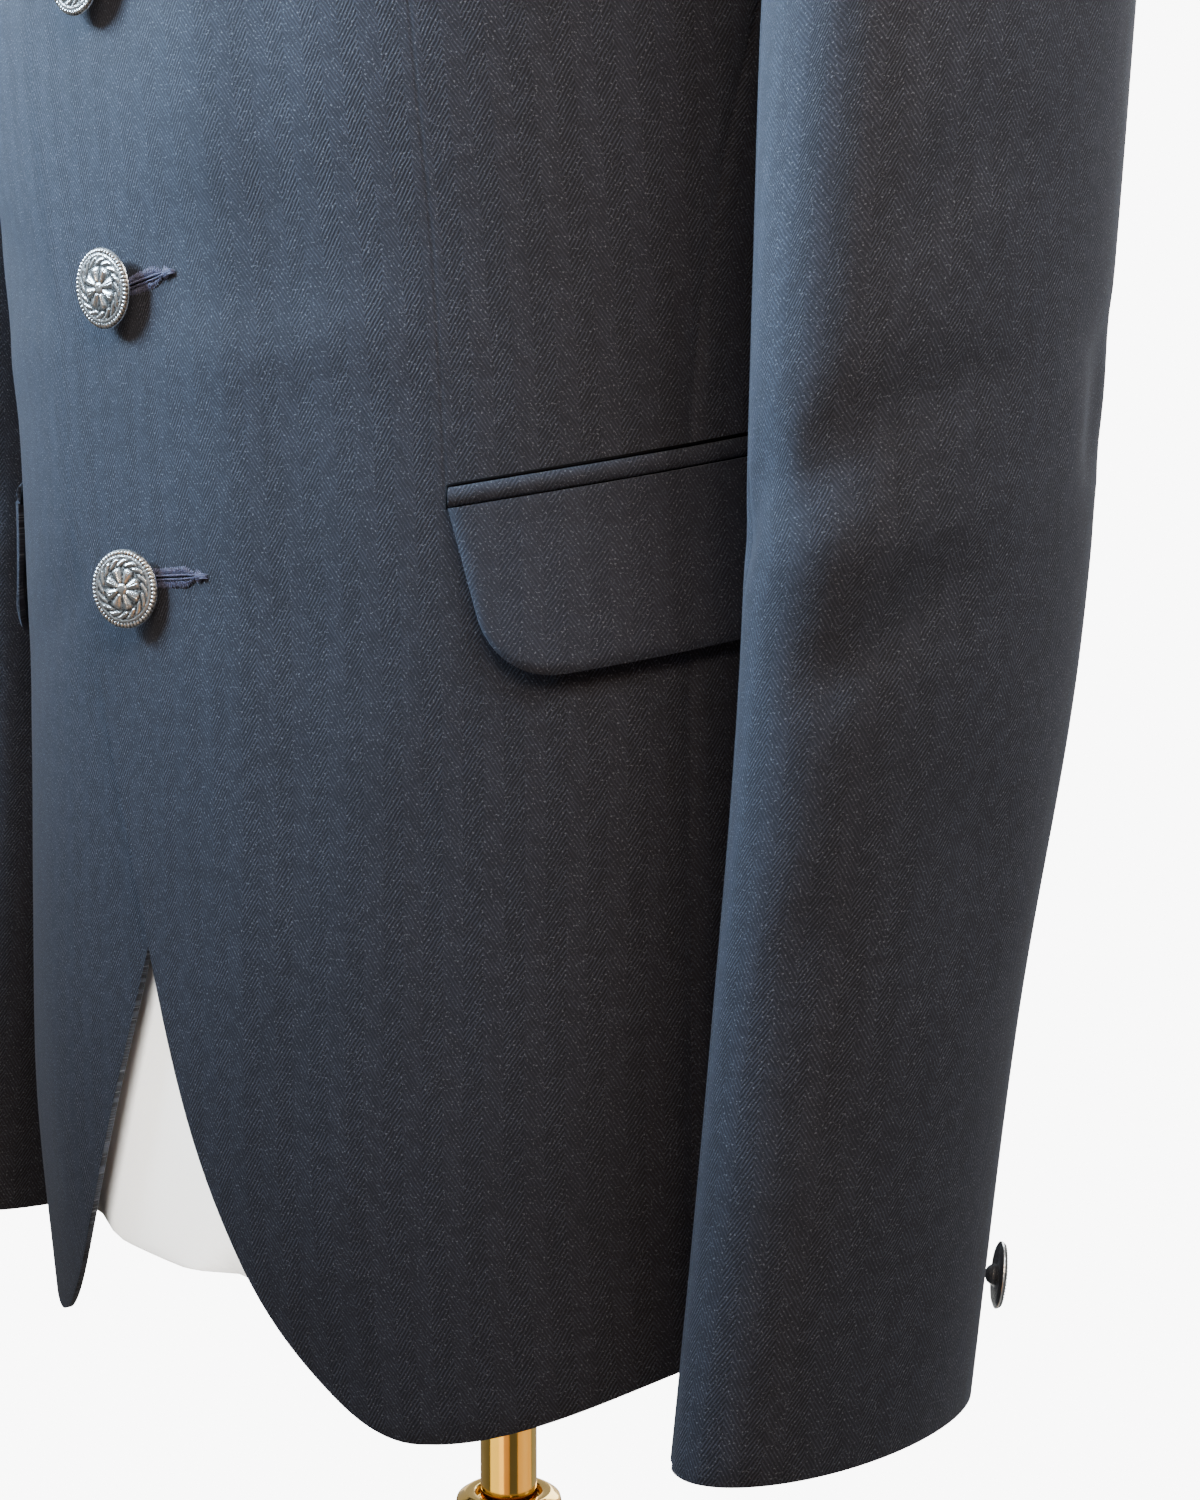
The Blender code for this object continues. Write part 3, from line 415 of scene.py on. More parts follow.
def neckline(start, end):
    """The collar's seam, between two turns."""
    turns = np.linspace(start, end, 60)
    middle = (NECKLINE_FRONT[0] + NECKLINE_BACK[0]) / 2
    half = (NECKLINE_BACK[0] - NECKLINE_FRONT[0]) / 2
    y = middle - half * np.cos(turns)
    share = (1 - np.cos(turns)) / 2
    z = NECKLINE_FRONT[1] + (NECKLINE_BACK[1] - NECKLINE_FRONT[1]) * share
    return chart_of(np.stack([NECKLINE_HALF_WIDTH * np.sin(turns), y, z], axis=-1))


def neck_side():
    """The neckline's chart point at the shoulder seam."""
    line = neckline(math.radians(60), math.radians(120))
    return np.array([math.pi / 2, np.interp(math.pi / 2, line[:, 0], line[:, 1])])


def shoulder_seam():
    """From the armhole's top to the neckline."""
    top = chart_of(armhole_points(np.array([math.pi / 2])))[0]
    return np.linspace([math.pi / 2, top[1]], neck_side(), 40)


def front_neckline():
    """The neckline from the front edge to the shoulder seam."""
    line = neckline(math.radians(-30), math.radians(110))
    points, _ = on_body(line)
    first = np.interp(-OVERLAP, points[:, 0], line[:, 0])
    turns = np.linspace(first, math.pi / 2, 40)
    return np.stack([turns, np.interp(turns, line[:, 0], line[:, 1])], axis=-1)


def back_neckline():
    """The neckline from the shoulder seam to the centre back."""
    line = neckline(math.radians(75), math.pi)
    turns = np.linspace(math.pi / 2, math.pi, 40)
    return np.stack([turns, np.interp(turns, line[:, 0], line[:, 1])], axis=-1)


def front_curve(start, end):
    """The cutaway between two shares of its curve, a cubic through its four handles."""
    share = np.linspace(start, end, 40)[:, None]
    a, b, c, d = (np.array(handle) for handle in FRONT_CURVE)
    rest = 1 - share
    line = rest**3 * a + 3 * rest**2 * share * b + 3 * rest * share**2 * c + share**3 * d
    return chart_at_x(line[:, 0], line[:, 1])


def front_edge(top_height):
    heights = np.linspace(FRONT_CURVE[0][1], top_height, 60)
    return chart_at_x(-OVERLAP, heights)


# How finely each piece is made here: cells of the part's own rails, each split this many times
FINE = 6
SHELL_BEVEL = 0.0006  # round of a cloth edge
FLAP_BEVEL = 0.0009  # and of the flap's, which is turned
JET_SEAM_OUT = 0.0004  # the dark cord of painted seam shade beside the jet lies this far outside it
JET_SEAM_TOP, JET_SEAM_FOOT = 0.0005, 0.0012  # and at these heights over the panel
JET_SEAM_RADIUS = 0.0006
SEAM_DIP = 0.0008  # how far the cloth sinks into a sewn seam
SEAM_DIP_WIDTH = 0.0022
LIFTED_TROUGH = 0.0006  # the deepest trough of the front that lies over the other one
SEAM_LAP = 0.0002  # a sewn edge runs this far into its neighbour
HEAD_GAP = SEAM_GAP + 0.0002  # from the armhole out to the sleeve's head
CUFF_SLANT_FROM, CUFF_SLANT_OVER = 0.80, 0.20  # shares of the sleeve's length
TUCK_REACH, TUCK_DEPTH = 0.004, 0.003  # the sleeve's turned edge, inside the armhole
UV_HEIGHTS = (0.70, 1.60)

# Weave, metres on the cloth
COLUMN = 0.0060  # one herringbone column, half of the repeat
STROKE_PITCH = 0.00117
STROKE_SLOPE = 1.55
STROKE_MEAN = 0.55  # a stroke's average, so that both leans look as dark from afar

# Soft creases: ends as distance round the body from the front and height, half width, height.
# Below zero is a trough.
FRONT_CREASES = (
    (0.020, 1.165, 0.120, 1.225, 0.013, -0.0013),
    (0.016, 1.072, 0.135, 1.110, 0.015, -0.0016),
    (0.018, 1.060, 0.120, 1.052, 0.012, 0.0010),
    (0.020, 0.985, 0.105, 0.955, 0.013, -0.0011),
    (0.105, 1.330, 0.150, 1.200, 0.020, -0.0024),
    (0.145, 1.290, 0.160, 1.150, 0.014, 0.0016),
    (0.128, 0.950, 0.150, 0.770, 0.022, -0.0020),
    (0.060, 0.900, 0.075, 0.760, 0.024, 0.0014),
)
SIDE_CREASES = (
    (0.190, 1.190, 0.245, 1.120, 0.014, -0.0018),
    (0.185, 1.080, 0.260, 1.060, 0.013, -0.0016),
    (0.235, 0.960, 0.245, 0.790, 0.018, -0.0020),
)
BACK_CREASES = (
    (0.300, 1.290, 0.330, 1.130, 0.020, -0.0026),
    (0.350, 1.330, 0.395, 1.180, 0.024, -0.0018),
    (0.315, 1.100, 0.430, 1.062, 0.014, -0.0020),
    (0.330, 1.060, 0.450, 1.040, 0.012, 0.0012),
    (0.345, 0.960, 0.355, 0.780, 0.026, 0.0022),
    (0.405, 0.940, 0.410, 0.770, 0.022, -0.0018),
)
# On the sleeve: turn as distance round it from the front, and height
SLEEVE_CREASES = (
    (0.010, 1.012, 0.074, 1.052, 0.010, -0.0030),
    (0.006, 0.992, 0.082, 1.016, 0.010, 0.0022),
    (0.012, 0.962, 0.066, 0.988, 0.011, -0.0026),
    (0.036, 1.080, 0.078, 1.112, 0.012, -0.0018),
    (0.066, 0.930, 0.092, 0.880, 0.018, -0.0022),
    (0.020, 0.905, 0.044, 0.828, 0.020, -0.0020),
    (0.034, 1.260, 0.052, 1.160, 0.020, -0.0022),
    (0.090, 1.250, 0.080, 1.130, 0.018, -0.0020),
    (0.108, 1.060, 0.126, 1.020, 0.014, -0.0026),
    (0.140, 1.000, 0.170, 1.034, 0.012, -0.0022),
    (-0.030, 1.000, 0.006, 1.020, 0.012, -0.0024),
    (0.058, 0.800, 0.062, 0.752, 0.020, -0.0014),
)
HEAD_ROWS_TO = 0.36  # share of its length where the closer rows of its head end
HEAD_SMOOTH, HEAD_DIP = 0.10, 0.005  # shares of the sleeve's length free of creases, and dipped
SLEEVE_ROUND = 0.052  # metres of sleeve for each radian
SLOW_WAVE = 0.0005
UNDER_BLEND = (math.radians(200), math.radians(290))  # where one lap's creases pass to the next

# Each half's name, whether it is mirrored, and the seed of its creases
SIDES = (("left", False, 0.4), ("right", True, 2.1))
MIRROR = np.array([-1.0, 1.0, 1.0])


def soft_creases(place, strokes, seed):
    """Height added at each place by soft, uneven troughs and ridges."""
    total = np.zeros(place.shape[:-1])
    for number, (ax, az, bx, bz, width, height) in enumerate(strokes):
        start, way = np.array([ax, az]), np.array([bx - ax, bz - az])
        length = np.linalg.norm(way)
        way = way / length
        along = (place - start) @ way / length
        wave = 0.35 * width * np.sin(4.2 * along + 1.7 * number + seed)
        across = (place - start) @ np.array([-way[1], way[0]]) - wave
        swell = width * (1 + 0.25 * np.sin(5.0 * along + number))
        fade = smooth_step((along + 0.18) / 0.45) * smooth_step((1.18 - along) / 0.45)
        total += height * np.exp(-((across / swell) ** 2)) * fade
    return total


def slow_waves(place, seed):
    """The faint unevenness of cloth that hangs, over some centimetres."""
    a, b = place[..., 0] / 0.05, place[..., 1] / 0.07
    waves = np.sin(a + 1.3 * np.sin(0.7 * b + seed)) * np.sin(b * 1.1 + 0.8 * np.sin(a + 2 * seed))
    return SLOW_WAVE * waves


# Where the weave lies: distances on the body round from the front and up from the hem


def body_tables():
    turns = np.linspace(math.radians(-40), math.pi + 0.02, 200)
    heights = np.linspace(*UV_HEIGHTS, 120)
    height, turn = np.meshgrid(heights, turns, indexing="ij")
    points, _ = on_body(np.stack([turn, height], axis=-1))
    round_it = distances(points, axis=1)
    front = np.array([np.interp(0.0, turns, row) for row in round_it])
    return turns, heights, round_it - front[:, None], distances(points)


TURNS, HEIGHTS, ROUND_TABLE, UP_TABLE = body_tables()


def read_table(table, turn, height):
    column = np.clip((turn - TURNS[0]) / (TURNS[1] - TURNS[0]), 0, len(TURNS) - 1.001)
    row = np.clip((height - HEIGHTS[0]) / (HEIGHTS[1] - HEIGHTS[0]), 0, len(HEIGHTS) - 1.001)
    c, r = column.astype(int), row.astype(int)
    a, b = column - c, row - r
    low = table[r, c] * (1 - a) + table[r, c + 1] * a
    high = table[r + 1, c] * (1 - a) + table[r + 1, c + 1] * a
    return low * (1 - b) + high * b


def weave_place(chart, grain_turn):
    """UV in metres: round the body from the grain line, and up along that line."""
    turn, height = chart[..., 0], chart[..., 1]
    line = np.full(turn.shape, grain_turn)
    u = read_table(ROUND_TABLE, turn, height) - read_table(ROUND_TABLE, line, height)
    return np.stack([u, read_table(UP_TABLE, line, height)], axis=-1)


def crease_place(chart):
    """Distance round from the front, as the crease tables give it, and chart height."""
    turn, height = chart[..., 0], chart[..., 1]
    level = np.minimum(height, 1.30)
    return np.stack([read_table(ROUND_TABLE, turn, level), height], axis=-1)


# Panels, on the part's own rails but finer


def seam_shares(cells):
    """Shares across a panel, even but for a few closer columns beside each seam."""
    near = np.array([0.10, 0.25, 0.5])
    even = np.arange(cells + 1.0)
    shares = np.concatenate([even, near, cells - near])
    return np.sort(shares) / cells


def resampled(rail, shares):
    place = shares * (len(rail) - 1)
    index = np.arange(len(rail))
    return np.stack([np.interp(place, index, rail[:, k]) for k in range(2)], axis=-1)


def patch(left, right, bottom, top):
    """Chart points between four rails, a Coons patch. Rows run up, columns run left to right."""
    shares = seam_shares(len(bottom) - 1)
    bottom, top = resampled(bottom, shares), resampled(top, shares)
    v = np.linspace(0.0, 1.0, len(left))[:, None, None]
    u = shares[None, :, None]
    across = (1 - u) * left[:, None] + u * right[:, None]
    upward = (1 - v) * bottom[None] + v * top[None]
    corners = (
        (1 - u) * (1 - v) * bottom[0]
        + u * (1 - v) * bottom[-1]
        + (1 - u) * v * top[0]
        + u * v * top[-1]
    )
    return across + upward - corners


def front_chart():
    """The front panel's rails: front edge, side seam with armhole and shoulder, hem, neckline."""
    top = front_neckline()
    left = joined(
        (front_curve(CORNER_SHARE, 0.0), FRONT_CURVE_CELLS * FINE),
        (front_edge(top[0][1]), (PANEL_CELLS - FRONT_CURVE_CELLS) * FINE),
    )
    right = joined(
        (side_seam(FRONT_SEAM_HEM, ARMHOLE_FRONT_SEAM), SIDE_SEAM_CELLS * FINE),
        (armhole_line(ARMHOLE_FRONT_SEAM, math.pi / 2), ARMHOLE_CELLS * FINE),
        (shoulder_seam(), SHOULDER_CELLS * FINE),
    )
    corner = front_curve(CORNER_SHARE, 1.0)
    bottom = joined(
        (corner, CORNER_CELLS * FINE),
        (hem_line(corner[-1][0], FRONT_SEAM_HEM), (FRONT_CELLS - CORNER_CELLS) * FINE),
    )
    return patch(left, right, bottom, joined((top, FRONT_CELLS * FINE)))


def side_chart():
    left = joined((side_seam(FRONT_SEAM_HEM, ARMHOLE_FRONT_SEAM), SIDE_SEAM_CELLS * FINE))
    right = joined((side_seam(BACK_SEAM_HEM, ARMHOLE_BACK_SEAM), SIDE_SEAM_CELLS * FINE))
    bottom = joined((hem_line(FRONT_SEAM_HEM, BACK_SEAM_HEM), SIDE_CELLS * FINE))
    top = joined((armhole_line(ARMHOLE_FRONT_SEAM, ARMHOLE_BACK_SEAM), SIDE_CELLS * FINE))
    return patch(left, right, bottom, top)


def back_chart():
    neck = back_neckline()
    left = joined(
        (side_seam(BACK_SEAM_HEM, ARMHOLE_BACK_SEAM), SIDE_SEAM_CELLS * FINE),
        (armhole_line(ARMHOLE_BACK_SEAM, -1.5 * math.pi), ARMHOLE_CELLS * FINE),
        (shoulder_seam(), SHOULDER_CELLS * FINE),
    )
    right = joined((np.linspace([math.pi, HEM_SIDE_Z], neck[-1], 80), PANEL_CELLS * FINE))
    bottom = joined((hem_line(BACK_SEAM_HEM, math.pi), BACK_CELLS * FINE))
    top = joined((neck, BACK_CELLS * FINE))
    return patch(left, right, bottom, top)


def overlap_lift(x):
    """How far the left front stands over the right one near the centre line."""
    start, end = OVERLAP_RAMP
    return (CLOTH + OVERLAP_GAP) * (1 - smooth_step((x - OVERLAP - start) / (end - start)))


def seam_dip(points, sides):
    """How far each point sinks beside the sewn left and right edges of its panel."""
    along = distances(points, axis=1)
    dip = np.zeros(points.shape[:-1])
    for side in sides:
        reach = along if side == "left" else along[:, -1:] - along
        dip += SEAM_DIP * np.exp(-((reach / SEAM_DIP_WIDTH) ** 2))
    return dip


def sewn(points, sides):
    """Runs the sewn edges of a grid a little way into their neighbours, so that no seam gapes."""
    points = points.copy()
    for side, edge, inner in (("left", 0, 1), ("right", -1, -2)):
        if side in sides:
            points[:, edge] += unit(points[:, edge] - points[:, inner]) * SEAM_LAP
    return points


def laid_out(chart, creases, seed, sides, lift=None):
    """The outer face of a creased panel on the body."""
    points, normals = on_body(chart)
    place = crease_place(chart)
    height = CLOTH + soft_creases(place, creases, seed) + slow_waves(place, seed)
    if lift is not None:
        raised = lift(points[..., 0])
        height = np.maximum(height + raised, CLOTH + raised - LIFTED_TROUGH)
    height = height - seam_dip(points, sides)
    return sewn(points + height[..., None] * normals, sides)


def new_object(name, data):
    made = bpy.data.objects.new(name, data)
    bpy.context.scene.collection.objects.link(made)
    return made


def cloth_piece(node, points, uv, wall, material, mirror=False, wind=False, bevel=SHELL_BEVEL):
    """A thin shell of cloth under a grid of points on its outer face, with its weave's UV map.
    It stands for the solid that it is named after."""
    if mirror:
        points, uv = points * MIRROR, uv * MIRROR[:2]
    if mirror != wind:
        points, uv = points[:, ::-1], uv[:, ::-1]
    rows, columns = points.shape[:2]
    index = np.arange(rows * columns).reshape(rows, columns)
    faces = np.stack([index[:-1, :-1], index[:-1, 1:], index[1:, 1:], index[1:, :-1]], axis=-1)
    faces = faces.reshape(-1, 4)
    mesh = bpy.data.meshes.new(node + "_cloth")
    mesh.from_pydata(points.reshape(-1, 3).tolist(), [], faces.tolist())
    layer = mesh.uv_layers.new(name="UVMap")
    layer.data.foreach_set("uv", uv.reshape(-1, 2)[faces.ravel()].ravel())
    mesh.materials.append(material)
    mesh.shade_smooth()
    piece = new_object(mesh.name, mesh)
    solid = piece.modifiers.new("Wall", "SOLIDIFY")
    solid.thickness, solid.offset = wall, -1.0
    edge = piece.modifiers.new("Rounded edge", "BEVEL")
    edge.width, edge.segments, edge.limit_method = bevel, 2, "ANGLE"
    edge.angle_limit = math.radians(60)
    bpy.context.view_layer.objects.active = piece
    bpy.ops.object.modifier_apply(modifier="Wall")
    bpy.ops.object.modifier_apply(modifier="Rounded edge")
    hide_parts(node)
    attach(piece, "root")
    return piece


def make_body_panels():
    """The three panels of each half, mirrored for the wearer's right."""
    both = ("left", "right")
    panels = (
        ("front", front_chart(), FRONT_CREASES, both[1:], FRONT_GRAIN, FRONT_CUT, FRONT_AREA),
        ("side", side_chart(), SIDE_CREASES, both, math.pi / 2, SIDE_CUT, SIDE_AREA),
        ("back", back_chart(), BACK_CREASES, both, math.pi, BACK_CUT, BACK_AREA),
    )
    for side, mirror, seed in SIDES:
        for panel, chart, creases, seams, grain, cut, area in panels:
            front = panel == "front"
            lift = overlap_lift if front and not mirror else None
            points = laid_out(chart, creases, seed, seams, lift)
            piece = cloth_piece(
                f"{panel}_{side}", points, weave_place(chart, grain), CLOTH,
                SUITING_FRONT if front else SUITING, mirror,
            )


# Sleeves


def sleeve_ring(share, turns):
    """Points round the sleeve: turn 0 is its front, 90 degrees its outer side."""
    share, turns = np.broadcast_arrays(np.asarray(share, float), np.asarray(turns, float))
    inner_x, inner_z, outer_x, outer_z, y, half = (
        through(SLEEVE_SECTIONS, column, share) for column in range(1, 7)
    )
    middle_x, middle_z = (inner_x + outer_x) / 2, (inner_z + outer_z) / 2
    return np.stack(
        [
            middle_x + (outer_x - inner_x) / 2 * np.sin(turns),
            y - half * np.cos(turns),
            middle_z + (outer_z - inner_z) / 2 * np.sin(turns),
        ],
        axis=-1,
    )


def sleeve_points(shares, turns):
    """The sleeve's outer face. Its head starts on the armhole and its cuff slants."""
    share, turn = np.meshgrid(shares, turns, indexing="ij")
    points = sleeve_ring(share, turn)
    edge = armhole_points(turns)
    edge = edge + CLOTH * normals_at(edge) + np.array([HEAD_GAP, 0.0, 0.0])
    head = edge - sleeve_ring(0.0, turns)
    hold = 1 - smooth_step(share / SLEEVE_HEAD_SHARE)
    points = points + hold[..., None] * head[None]
    slant = smooth_step((share - CUFF_SLANT_FROM) / CUFF_SLANT_OVER)
    points[..., 2] -= slant * CUFF_SLANT * np.cos(turn - CUFF_SLANT_TURN)
    return points


def grid_normals(points):
    """Outward normals of a sleeve grid, whose rows run down and columns run round."""
    down = np.gradient(points, axis=0)
    round_it = np.gradient(points, axis=1)
    return unit(np.cross(round_it, -down))


def creased_sleeve(shares, turns, seed):
    points = sleeve_points(shares, turns)
    normals = grid_normals(points)
    turn = np.broadcast_to(turns, points.shape[:-1])
    heights = []
    for lap in (0.0, 2 * math.pi):
        place = np.stack([(turn - lap) * SLEEVE_ROUND, points[..., 2]], axis=-1)
        heights.append(soft_creases(place, SLEEVE_CREASES, seed) + slow_waves(place, seed))
    under = smooth_step((turn - UNDER_BLEND[0]) / (UNDER_BLEND[1] - UNDER_BLEND[0]))
    height = (1 - under) * heights[0] + under * heights[1]
    shares = shares[:, None]
    height = height * smooth_step(shares / HEAD_SMOOTH) - seam_dip(points, ("left", "right"))
    height = height - SEAM_DIP * np.exp(-((shares / HEAD_DIP) ** 2))
    return points + height[..., None] * normals


def running_uv(points, column):
    """UV in metres: round from one column of the grid, and down along that column."""
    u = distances(points, axis=1)
    v = -distances(points[:, column])[:, None]
    return np.stack([u - u[:, column:column + 1], np.broadcast_to(v, u.shape)], axis=-1)


def sleeve_tuck(turns):
    """The head's turned edge, which runs in under the armhole, so that its seam never gapes."""
    edge = armhole_points(turns)
    return edge - TUCK_DEPTH * normals_at(edge) - np.array([TUCK_REACH, 0.0, 0.0])


def make_sleeves():
    """Both pieces of each sleeve, their rows closer together at the head."""
    head = HEAD_ROWS_TO * (1 - np.cos(np.linspace(0.0, math.pi / 2, 45)))
    arm = np.linspace(HEAD_ROWS_TO, 1.0, 80)
    shares = np.concatenate([[0.0, 0.0006], head[2:-1], arm])
    under = (HINDARM_SEAM, FOREARM_SEAM + 2 * math.pi)
    parts = (
        ("sleeve_top", (FOREARM_SEAM, HINDARM_SEAM), 66, TOP_SLEEVE_CUT, TOP_SLEEVE_AREA),
        ("sleeve_under", under, 46, UNDER_SLEEVE_CUT, UNDER_SLEEVE_AREA),
    )
    for side, mirror, seed in (("left", False, 0.0), ("right", True, 1.9)):
        for name, (start, end), cells, cut, area in parts:
            turns = start + (end - start) * seam_shares(cells)
            points = creased_sleeve(shares, turns, seed)
            points = np.concatenate([sleeve_tuck(turns)[None], points])
            uv = running_uv(points, len(turns) // 2)
            points = sewn(points, ("left", "right"))
            piece = cloth_piece(f"{name}_{side}", points, uv, CLOTH, SUITING, mirror, wind=True)


# Collar


def make_collar():
    """The band, from the right end round the back to the left end."""
    turns = np.linspace(COLLAR_HALF_GAP, 2 * math.pi - COLLAR_HALF_GAP, 181)
    near = np.array([0.05, 0.14, 0.27]) * (turns[1] - turns[0])
    turns = np.sort(np.concatenate([turns, turns[0] + near, turns[-1] - near]))
    line = neckline(0.0, math.pi)
    heights = np.interp(np.minimum(turns, 2 * math.pi - turns), line[:, 0], line[:, 1])
    start, normals = on_body(np.stack([turns, heights + COLLAR_SEAM], axis=-1))
    ahead, _ = on_body(np.stack([turns, heights + COLLAR_SEAM + 0.004], axis=-1))
    tangent = unit(ahead - start)
    left_side = np.where(turns < math.pi, 1.0, 0.0)
    lift = COLLAR_WALL + left_side * overlap_lift(np.abs(start[:, 0]))
    point = start + lift[:, None] * normals
    inward = np.stack([-np.sin(turns), np.cos(turns), turns * 0], axis=-1)
    upward = unit(np.array([0.0, NECK_LEAN, 1.0]) + COLLAR_LEAN_IN * inward)
    reach = np.linalg.norm(start - start[0], axis=-1)
    reach = np.minimum(reach, np.linalg.norm(start - start[-1], axis=-1))
    near_end = np.clip((COLLAR_CORNER - reach) / COLLAR_CORNER, 0.0, 1.0)
    height = COLLAR_HEIGHT - COLLAR_CORNER * (1 - np.sqrt(1 - near_end**2))
    shares = np.linspace(0.0, 1.0, 25)
    rows = [point]
    for last, share in zip(shares, shares[1:]):
        turned = smooth_step((last + share) / 2 / COLLAR_TURN)
        way = unit((1 - turned) * tangent + turned * upward)
        point = point + ((share - last) * height)[:, None] * way
        rows.append(point)
    points = np.array(rows)
    u = np.broadcast_to(distances(points[len(points) // 2]), points.shape[:-1])
    uv = np.stack([u, shares[:, None] * height[None]], axis=-1)
    piece = cloth_piece("collar", points, uv, COLLAR_WALL, SUITING)


# Pockets


def pocket_chart(along, down):
    """Chart points at distances along the pocket's line, towards the back, and down from it."""
    turns = np.linspace(0.0, math.radians(150), 300)
    ring, _ = on_body(np.stack([turns, np.full(300, POCKET_Z)], axis=-1))
    lengths = distances(ring)
    first = np.interp(POCKET_FRONT_X, ring[:120, 0], lengths[:120])
    turn = np.interp(first + along, lengths, turns)
    return np.stack([turn, POCKET_Z + POCKET_RISE * along - down], axis=-1)


FOLLOWED = 0.6  # share of the panel's creases that a piece laid on it takes
DEEPEST_FOLLOWED = 0.0004
FLAP_CELLS = 72


def lay_on_panel(chart, height, seed):
    """Outer face of a piece laid on a panel, following its creases, at a height over the cloth."""
    points, normals = on_body(chart)
    place = crease_place(chart)
    strokes = FRONT_CREASES + SIDE_CREASES
    below = soft_creases(place, strokes, seed) + slow_waves(place, seed)
    below = FOLLOWED * np.maximum(below, -DEEPEST_FOLLOWED)
    lift = CLOTH + height + overlap_lift(points[..., 0]) + below
    return points + lift[..., None] * normals


def flap_grid():
    """Distances along and down, over the flap: lower corners round, front edge slanting."""
    columns = np.append(np.arange(FLAP_CELLS + 1.0), [0.5, FLAP_CELLS - 0.5])
    columns = np.sort(columns) / FLAP_CELLS * POCKET_LENGTH
    reach = np.minimum(columns, POCKET_LENGTH - columns)
    near_end = 0.97 * np.clip((FLAP_CURVE - reach) / FLAP_CURVE, 0.0, 1.0)
    depth = FLAP_DEPTH - FLAP_CURVE_RISE * (1 - np.sqrt(1 - near_end**2))
    squeeze = 1 - 2 * FLAP_SLANT / POCKET_LENGTH
    low_along = POCKET_LENGTH / 2 + (columns - POCKET_LENGTH / 2) * squeeze
    top_down = JET_HEIGHT + SEAM_GAP
    top = np.stack([columns, np.full(len(columns), top_down)], axis=-1)
    low = np.stack([low_along, top_down + depth], axis=-1)
    share = np.concatenate([[0.0, 0.02, 0.042, 0.07, 0.10], np.linspace(0.135, 1.0, 26)])
    share = share[:, None, None]
    return (1 - share) * low[None] + share * top[None]


def flap_crown(flat):
    """How far a doubled flap swells between its turned edges, at each point of its flat grid."""
    columns, down = flat[..., 0], flat[..., 1]
    middle = (columns.min(axis=1) + columns.max(axis=1))[:, None] / 2
    half = (columns.max(axis=1) - columns.min(axis=1))[:, None] / 2
    side_way = half - np.abs(columns - middle)
    low_way = down.max(axis=0)[None] - down
    return FLAP_CROWN * smooth_step(side_way / FLAP_ROLL) * smooth_step(low_way / FLAP_ROLL)


def make_pockets():
    """Flap, jet and the dark cord of painted shade along the jet's seams, on each side."""
    for side, mirror, seed in SIDES:
        flat = flap_grid()
        chart = pocket_chart(flat[..., 0], flat[..., 1])
        drop = (flat[..., 1] - flat[-1, 0, 1]) / FLAP_DEPTH
        ripple = FLAP_RIPPLE * np.sin(flat[..., 0] / 0.021 + seed) * drop
        hang = FLAP_STAND_OFF * np.clip(drop, 0, 1) ** 1.5
        height = LAY_GAP + FLAP_WALL + hang + ripple + flap_crown(flat)
        points = lay_on_panel(chart, height, seed)
        uv = weave_place(chart, FRONT_GRAIN)
        flap = cloth_piece(
            f"pocket_flap_{side}", points, uv, FLAP_WALL, SUITING_PAINTED_LIT, mirror, bevel=FLAP_BEVEL
        )
        along = seam_shares(FLAP_CELLS) * POCKET_LENGTH
        share = np.linspace(0.0, 1.0, 9)[:, None]
        down = JET_HEIGHT * (1 - share) + along * 0
        chart = pocket_chart(along + share * 0, down)
        swell = JET_SWELL * np.sin(math.pi * share) ** 0.7
        points = lay_on_panel(chart, LAY_GAP + JET_WALL + swell + along * 0, seed)
        uv = weave_place(chart, FRONT_GRAIN)
        jet = cloth_piece(f"pocket_jet_{side}", points, uv, JET_WALL, SUITING_PAINTED_LIT, mirror)
        make_seam_shade_cord(side, mirror, seed)


def make_seam_shade_cord(side, mirror, seed):
    """A near-black cord of painted shade in the seams round the jet: along its top, down its front
    end and along its foot.
    """
    run = np.linspace(POCKET_LENGTH, -JET_SEAM_OUT, 90)
    top = np.stack([run, np.full(90, -JET_SEAM_OUT)], axis=-1)
    foot = np.stack([run[::-1], np.full(90, JET_HEIGHT + SEAM_GAP / 2)], axis=-1)
    route = np.concatenate([top, foot])
    chart = pocket_chart(route[:, 0], route[:, 1])
    lift = np.concatenate([np.full(90, JET_SEAM_TOP), np.full(90, JET_SEAM_FOOT)])
    points = lay_on_panel(chart, lift, seed)
    if mirror:
        points = points * MIRROR
    # This curve is a near-black cord of painted shade for the sunk seam, not a visible thread.
    thread = bpy.data.curves.new(f"seam_shade_cord_{side}", "CURVE")
    thread.dimensions = "3D"
    thread.bevel_depth, thread.bevel_resolution = JET_SEAM_RADIUS, 2
    line = thread.splines.new("POLY")
    line.points.add(len(points) - 1)
    line.points.foreach_set("co", np.column_stack([points, np.ones(len(points))]).ravel())
    piece = new_object(thread.name, thread)
    bpy.context.view_layer.objects.active = piece
    piece.select_set(True)
    bpy.ops.object.convert(target="MESH")
    piece = bpy.context.active_object
    piece.data.materials.clear()
    piece.data.materials.append(PAINTED_SEAM_SHADE)
    finish_piece(piece, "suiting", smooth=60)


# Turned and sewn trim


